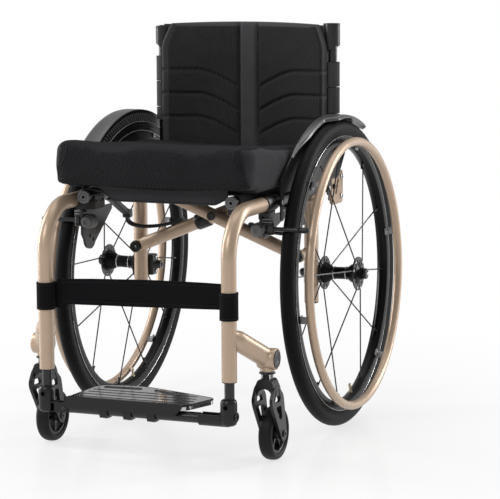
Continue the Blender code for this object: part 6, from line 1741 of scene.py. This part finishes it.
    def cane(self, side: Side) -> None:
        """A cane with its plugs, and the bracket that holds it to the seat tube."""
        piece = Piece(f"{side.word}_cane_tube", ANODISED, MOULDED)
        foot, top = side.at(FRAME_X, CANE_Y, 0.4335), side.at(FRAME_X, CANE_Y, 0.7740)
        piece.add(tube([foot, top], 0.0095, 36))
        piece.add(dome(0.0097, 0.0045, 0.0022), 1, facing(top, UP))
        piece.add(dome(0.0095, 0.0025, 0.0012), 1, facing(foot, DOWN))
        self.stand(piece.finish(40), "black_anodised", f"{side.word}_back_cane")
        front, rear, bottom, top_z = 0.038, 0.103, 0.428, 0.494
        corners = [(front, bottom), (rear, bottom), (rear, top_z), (front, top_z)]
        outline = softened([(a + AXLE_Y, b) for a, b in corners], 0.012, 7)
        corners = [(0.057, 0.449), (0.066, 0.446), (0.081, 0.478), (0.072, 0.481)]
        slot = softened([(a + AXLE_Y, b) for a, b in corners], 0.0045, 5)
        ends = side.span(0.1970, 0.2020)
        piece = Piece(f"{side.word}_cane_bracket", PAINT, ANODISED, STEEL)
        piece.add(plate(outline, Axis.X, ends[0], ends[1], [slot]))
        for z in (0.442, 0.480):
            boss = [side.at(FRAME_X + 0.0090, CANE_Y, z), side.at(0.1985, CANE_Y, z)]
            piece.add(tube(boss, 0.0080, 28), 0)
            piece.screw(side.at(0.2020, CANE_Y, z), side.out, 0.0052, 0.0030, 2)
        piece.screw(side.at(0.2020, 0.048, SEAT_TUBE_Z), side.out, 0.0056, 0.0032, 1)
        self.stand(piece.finish(40, 0.0007), "champagne_paint", f"{side.word}_back_bracket")

    def build(self) -> None:
        """Makes every piece of the backrest."""
        for side in Side:
            self.cane(side)
            self.wing(side)
        self.pad()
        self.shell()


@dataclass
class Seat(Assembly):
    """The seat: the sling between the rails and the contoured cushion on it."""

    half_width: float = 0.198
    front: float = -0.385
    rear: float = 0.055
    top: float = 0.575
    front_base: float = 0.4995
    rear_fall: float = 0.027
    corner: float = 0.027
    edge: float = 0.020
    low_edge: float = 0.011
    seam_top: float = 0.1840
    seam_low: float = 0.1965

    def sling_height(self, x: float) -> float:
        """The sling's underside at a place across it."""
        return 0.4865 - 0.020 * max(0.0, 1 - (x / SEAT_RAIL_X) ** 2) ** 1.5

    def sling(self) -> None:
        """The sling, wrapped over the rails and down their outer sides, with its front valance."""
        thick, steps = 0.0026, 64
        across = [0.146 * (2 * step / steps - 1) for step in range(steps + 1)]
        over = arc((SEAT_RAIL_X, SEAT_RAIL_Z), 0.0122, radians(100), radians(-8), 10)
        middle = [(x, self.sling_height(x)) for x in across]
        under = [*((-x, z) for x, z in reversed(over)), *middle, *over]
        upper: list[Point2] = []
        for index, point in enumerate(under):
            run = Vector(under[min(index + 1, len(under) - 1)]) - Vector(under[max(index - 1, 0)])
            run = run.normalized()
            upper.append((point[0] - run.y * thick, point[1] + run.x * thick))
        piece = Piece("seat_sling_cloth", SLING, WEBBING)
        cloth = plate([*under, *reversed(upper)], Axis.Y, SLING_FRONT + AXLE_Y, SLING_REAR + AXLE_Y)
        bmesh.ops.recalc_face_normals(cloth, faces=cloth.faces)
        lengthwise = [edge for edge in cloth.edges if abs(edge.verts[0].co.y - edge.verts[1].co.y) > 0.1]
        bmesh.ops.subdivide_edges(cloth, edges=lengthwise, cuts=40, use_grid_fill=True)
        for vert in cloth.verts:
            share = (vert.co.y - AXLE_Y - SLING_FRONT) / (SLING_REAR - SLING_FRONT)
            sag = max(0.0, 1 - (vert.co.x / 0.13) ** 2)
            vert.co.z += 0.0012 * sin(share * 31) * (1 - share) ** 2 * sag
        piece.add(cloth)
        for y in (-0.3385, -0.326, 0.016, 0.0285):
            row = [at(x, y, z + 0.0002) for x, z in upper[6:-6:2]]
            piece.add(swept(rounded(0.0012, 0.0008, 0.0003, 2), row, REARWARD), 1)
        self.valance(piece)
        made = piece.finish(50)
        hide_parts("seat_sling")
        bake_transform(made)
        length = sum(hypot(b[0] - a[0], b[1] - a[1]) for a, b in zip(under, under[1:]))

    def valance(self, piece: Piece) -> None:
        """Adds the strip of the sling that hangs down at the front, under the cushion."""

        def place(u: float, v: float, upper: bool) -> Vector:
            x = u * 0.1385
            high = 0.4978 - 0.0012 * abs(u)
            low = 0.4668 + 0.0240 * eased(-x, 0.088, 0.130) + 0.0100 * eased(x, 0.110, 0.137)
            return at(x, -0.3412 + (0.0011 if upper else -0.0011), low + (v + 1) / 2 * (high - low))

        piece.add(pillow(56, 5, place))
        row = [place(-0.96 + 1.92 * step / 56, -0.80, False) - Vector((0, 0.0003, 0)) for step in range(57)]
        piece.add(swept(rounded(0.0010, 0.0006, 0.0002, 2), row, REARWARD), 1)

    def base_at(self, x: float, y: float) -> float:
        """The cushion's underside: straight along its front edge, and on the sling behind it."""
        lying = self.sling_height(x) + 0.0042
        return lying + (self.front_base - lying) * eased(-y, 0.325, 0.352)

    def top_at(self, x: float, y: float) -> float:
        """The cushion's top: a shaped front edge, and a fall to the hollow at the rear."""
        share, back = abs(x) / self.half_width, (y - self.front) / (self.rear - self.front)
        fall = self.top - self.rear_fall * back
        fall -= 0.008 * exp(-((x / 0.12) ** 2)) * eased(back, 0.25, 0.80)
        front = self.top + 0.001 - 0.008 * ridge(share - 0.43, 0.22) + 0.006 * share**4
        return fall + (front - fall) * (1 - eased(back, 0.02, 0.38))

    def cushion_point(self, u: float, v: float, upper: bool) -> Vector:
        """A point of the cushion: a flat middle, rounded edges and a wall, by how far out it is."""
        half_depth, middle_y = (self.rear - self.front) / 2, (self.rear + self.front) / 2
        out = max(abs(u), abs(v), 1e-6)
        wall, bend = 0.90, 0.78
        reach = self.edge if upper else self.low_edge
        turn = min(1.0, max(0.0, (out - bend) / (wall - bend))) * pi / 2
        grow, lift, spread = min(1.0, out / bend), cos(turn), sin(turn)
        drop = max(0.0, (out - wall) / (1 - wall))
        base_x, base_y = self.half_width - reach, half_depth - reach
        hand_x, hand_y = (1 if u > 0 else -1), (1 if v > 0 else -1)
        radius = self.corner - reach
        x, y = abs(u) / out * base_x * grow, abs(v) / out * base_y * grow
        cut = Vector((x - (base_x * grow - radius), y - (base_y * grow - radius)))
        if cut.x > 0 and cut.y > 0:
            scale = max(cut.x, cut.y) / cut.length
            x, y = base_x * grow - radius + cut.x * scale, base_y * grow - radius + cut.y * scale
        away = Vector((x - min(x, base_x - radius), y - min(y, base_y - radius)))
        away = away.normalized() if away.length > 1e-9 else Vector((abs(u), abs(v))).normalized()
        x, y = hand_x * (x + away.x * reach * spread), hand_y * (y + away.y * reach * spread)
        away = Vector((hand_x * away.x, hand_y * away.y))
        x *= 1 - 0.012 * spread * (1 - (y / half_depth) ** 2) * abs(away.x)
        y *= 1 - 0.006 * spread * (1 - (x / self.half_width) ** 2) * abs(away.y)
        base = self.base_at(x, middle_y + y)
        top = self.top_at(x, middle_y + y)
        waist = ((top - self.edge) + (base + self.low_edge)) / 2
        if upper:
            z = top - self.edge * (1 - lift) - drop * (top - self.edge - waist)
        else:
            z = base + self.low_edge * (1 - lift) + drop * (waist - base - self.low_edge)
        bulge = 0.0028 * (1 - abs(2 * (z - base) / (top - base) - 1) ** 2) * spread
        wrinkle = noise.noise(Vector((x * 21, y * 21, z * 30))) * 0.0016
        wrinkle += noise.noise(Vector((x * 55, y * 55, z * 70 + 4))) * 0.0006
        x, y = x + away.x * (bulge + wrinkle * spread), y + away.y * (bulge + wrinkle * spread)
        return at(x, middle_y + y, z + (wrinkle * lift if upper else 0.0))

    def seam_place(self, share: float, side: Side) -> Vector:
        """A point of the upright seam near a front corner, from its top at 0 to its foot at 1."""
        reach = self.seam_top + (self.seam_low - self.seam_top) * share**1.3
        out = 0.84 + 0.16 * min(1.0, share * 2) - 0.16 * max(0.0, share * 2 - 1)
        across = reach / (self.half_width - 0.004)
        if across < 1:
            return self.cushion_point(side.value * across * out, -out, share < 0.5)
        return self.cushion_point(side.value * out, -out * (2 - across), share < 0.5)

    def cushion(self) -> None:
        """The cushion with a mesh front panel, cloth top and sides, and piped seams."""
        shell = pillow(132, 140, self.cushion_point)
        bmesh.ops.recalc_face_normals(shell, faces=shell.faces)
        piece = Piece("contoured_cushion", SEAT_CLOTH, FRONT_MESH, PIPING, PANEL_CLOTH)
        for face in shell.faces:
            spot, normal = face.calc_center_median(), face.normal
            front = normal.y < -0.35 or spot.y - AXLE_Y < self.front + 0.016
            fall = min(1.0, max(0.0, (self.top - spot.z) / (self.top - self.front_base)))
            inside = abs(spot.x) < self.seam_top + (self.seam_low - self.seam_top) * fall**1.3
            if normal.z < 0.75:
                face.material_index = 1 if front and inside else 3
        piece.add(shell, -1)
        for side in Side:
            piece.add(tube([self.seam_place(step / 24, side) for step in range(25)], 0.0010, 8), 2)
        hem = [self.cushion_point(-0.90 + 1.80 * step / 60, -0.90, False) for step in range(61)]
        piece.add(tube(hem, 0.0011, 8), 2)
        made = piece.finish(75)
        self.stand(made, "cushion_fabric", "cushion")
        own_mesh(made)

    def build(self) -> None:
        """Makes every piece of the seat."""
        self.sling()
        self.cushion()


@dataclass
class CalfStrap(Assembly):
    """The strap behind the calves: a band and its loops round both front tubes."""

    lows: Point2 = (0.2820, 0.2900)
    highs: Point2 = (0.3286, 0.3370)
    loop_low: float = 0.2745
    loop_high: float = 0.3250
    folded_anchor: float = -0.1178
    folded_share: float = 0.085

    def edge_at(self, ends: Point2, x: float) -> float:
        """The height of one of the band's edges at a place across it, from its two ends."""
        share = (x + FRAME_X) / (2 * FRAME_X)
        return ends[0] + (ends[1] - ends[0]) * share

    def band(self) -> None:
        """The band, bowed back a little, with hems and stitching."""
        steps, rows = 72, 14

        def place(u: float, v: float, upper: bool) -> Vector:
            x = u * 0.1675
            low, high = self.edge_at(self.lows, x), self.edge_at(self.highs, x)
            slack = 1 - u * u
            z = low + (v + 1) / 2 * (high - low) + 0.0018 * slack * v
            bow = 0.0085 * slack + 0.0012 * sin(u * 9 + v) * slack
            hem = 0.0004 if abs(v) > 0.78 else 0.0
            y = -0.4318 + bow + (0.0012 + hem if upper else -0.0012 - hem)
            return at(x, y, z)

        piece = Piece("calf_strap_band", WEBBING, PIPING)
        piece.add(pillow(steps, rows, place))
        for share in (-0.74, 0.74):
            raised = Vector((0, -0.0006, 0))
            row = [place(-0.97 + 1.94 * step / 60, share, False) + raised for step in range(61)]
            piece.add(swept(rounded(0.0011, 0.0007, 0.0003, 2), row, UP), 1)
        made = piece.finish(60)
        self.stand(made, "webbing", "calf_strap")
        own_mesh(made)

    def loop(self, side: Side) -> None:
        """A loop round a front tube, closed with a hook-and-loop flap."""
        piece = Piece(f"{side.word}_calf_strap_loop", WEBBING, PIPING)
        outer, inner = 0.0172, 0.0146
        centre = (FRAME_X, FRONT_TUBE_Y)
        away = arc(centre, outer, radians(128), radians(-232 + 28), 40)
        near = arc(centre, inner, radians(-232 + 28), radians(128), 40)
        piece.add(plate(side.plan([*away, *near]), Axis.Z, self.loop_low, self.loop_high))
        corners = [(-0.024, 0.0152), (-0.024, 0.0190), (-0.004, 0.0180), (0.006, 0.0160), (0.004, 0.0140),
                   (-0.004, 0.0146)]
        tongue = [(FRAME_X + a, FRONT_TUBE_Y + b) for a, b in corners]
        piece.add(plate(side.plan(tongue), Axis.Z, self.loop_low + 0.0008, self.loop_high - 0.0008))
        for z in (self.loop_low + 0.004, self.loop_high - 0.004):
            turn = arc(centre, outer + 0.0002, radians(110), radians(-190), 40)
            row = [Vector((x, y, z)) for x, y in side.plan(turn)]
            piece.add(swept(rounded(0.0009, 0.0006, 0.0002, 2), row, UP), 1)
        self.join(piece.finish(50, 0.0005), "webbing", f"{side.word}_frame")

    def build(self) -> None:
        """Makes every piece of the strap."""
        self.band()
        for side in Side:
            self.loop(side)


@dataclass
class Studio:
    """The camera, lights and floor."""

    focal_px: float = 2284.5
    width_px: float = 500.0
    eye: tuple[float, float, float] = (1.7492, -4.0966, 0.9636)
    forward: tuple[float, float, float] = (-0.37435, 0.91706, -0.13731)
    roll: float = radians(-0.335)

    def camera(self) -> None:
        """The camera at the photograph's viewing angle."""
        lens = bpy.data.cameras.new("camera")
        lens.sensor_width = 36.0
        lens.lens = self.focal_px / self.width_px * lens.sensor_width
        lens.clip_start, lens.clip_end = 0.1, 100.0
        made = bpy.data.objects.new("camera", lens)
        bpy.context.scene.collection.objects.link(made)
        ahead = Vector(self.forward).normalized()
        level = ahead.cross(UP).normalized()
        rise = level.cross(ahead)
        right = level * cos(self.roll) + rise * sin(self.roll)
        up = rise * cos(self.roll) - level * sin(self.roll)
        turn = Matrix((right, up, -ahead)).transposed().to_4x4()
        made.matrix_world = Matrix.Translation(self.eye) @ turn
        bpy.context.scene.camera = made

    def lamp(self, name: str, place: Vector, target: Vector, power: float, size: Point2) -> None:
        """A soft rectangular lamp that looks at a target."""
        light = bpy.data.lights.new(name, "AREA")
        light.shape = "RECTANGLE"
        light.size, light.size_y = size
        light.energy = power
        made = bpy.data.objects.new(name, light)
        bpy.context.scene.collection.objects.link(made)
        made.matrix_world = facing(place, place - target)

    def floor(self) -> None:
        """A pale floor that takes the chair's shadow and turns white further out."""
        shell = bmesh.new()
        bmesh.ops.create_grid(shell, x_segments=1, y_segments=1, size=40.0)
        mesh = bpy.data.meshes.new("floor")
        shell.to_mesh(mesh)
        shell.free()
        made = bpy.data.objects.new("floor", mesh)
        bpy.context.scene.collection.objects.link(made)
        material = bpy.data.materials.new("pale_floor")
        material.use_nodes = True
        graph = Graph(material.node_tree)
        shader = material.node_tree.nodes["Principled BSDF"]
        shader.inputs["Base Color"].default_value = (0.92, 0.92, 0.92, 1.0)
        shader.inputs["Roughness"].default_value = 0.17
        shader.inputs["Specular IOR Level"].default_value = 0.5
        place = graph.place()
        squared = graph.node("ShaderNodeVectorMath", {0: place, 1: place}, operation="DOT_PRODUCT")
        far = graph.math("SQRT", squared.outputs["Value"])
        rays = graph.node("ShaderNodeLightPath")
        seen = graph.math("MAXIMUM", rays.outputs["Is Camera Ray"], rays.outputs["Is Glossy Ray"])
        share = graph.math("MULTIPLY", graph.spread(far, 0.45, 1.2, 0.70, 1.0), seen)
        glow = graph.node("ShaderNodeEmission", {"Color": (1, 1, 1, 1), "Strength": 1.0})
        mixed = graph.node("ShaderNodeMixShader", {0: share, 1: shader.outputs[0], 2: glow.outputs[0]})
        graph.feed(material.node_tree.nodes["Material Output"].inputs[0], mixed.outputs[0])
        mesh.materials.append(material)
        made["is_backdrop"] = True

    def sky(self) -> None:
        """A world that is white to the camera and dimmer as a light."""
        world = bpy.data.worlds.new("studio")
        world.use_nodes = True
        bpy.context.scene.world = world
        graph = Graph(world.node_tree)
        rays = graph.node("ShaderNodeLightPath")
        seen = graph.math("MAXIMUM", rays.outputs["Is Camera Ray"], rays.outputs["Is Transmission Ray"])
        strength = graph.math("MAXIMUM", seen, 0.42)
        sky = world.node_tree.nodes["Background"]
        sky.inputs["Color"].default_value = (1, 1, 1, 1)
        graph.feed(sky.inputs["Strength"], strength)

    def build(self) -> None:
        """Sets up the whole studio."""
        self.camera()
        self.sky()
        self.floor()
        middle = at(0, -0.1, 0.4)
        self.lamp("key", at(-0.6, -3.2, 2.6), middle, 45, (1.6, 1.6))
        self.lamp("left_strip", at(-2.9, -0.3, 1.3), middle, 75, (0.8, 2.4))
        self.lamp("right_strip", at(2.3, 2.0, 1.4), middle, 65, (0.8, 2.4))
        self.lamp("top", at(0, 0.5, 3.0), middle, 25, (2.4, 2.4))
        bpy.context.scene.view_settings.view_transform = "Standard"


class SizeLog:
    """Keeps the object's box from before the looks are made."""

    def __init__(self) -> None:
        """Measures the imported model's box."""
        self.cad = [list(corner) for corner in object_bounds()]

    def write(self) -> None:
        """Does nothing."""


def main() -> None:
    """Builds the studio and every sub-assembly, in order."""
    logging.basicConfig(level=logging.INFO, format="%(name)s: %(message)s")
    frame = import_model()
    sizes = SizeLog()
    groups = frame["record"]["behaviour"]["bodies"]
    Assembly.node_bodies = {node: body for body, members in groups.items() for node in members}
    Studio().build()
    for side in Side:
        RearWheel(side).build()
        SideFrame(side, frame["nodes"]).build()
        Caster(side).build()
        GuardAndLock(side).build()
    CrossBrace().build()
    Footrest().build()
    Backrest().build()
    Seat().build()
    CalfStrap().build()
    sizes.write()


if __name__ == "__main__":
    main()
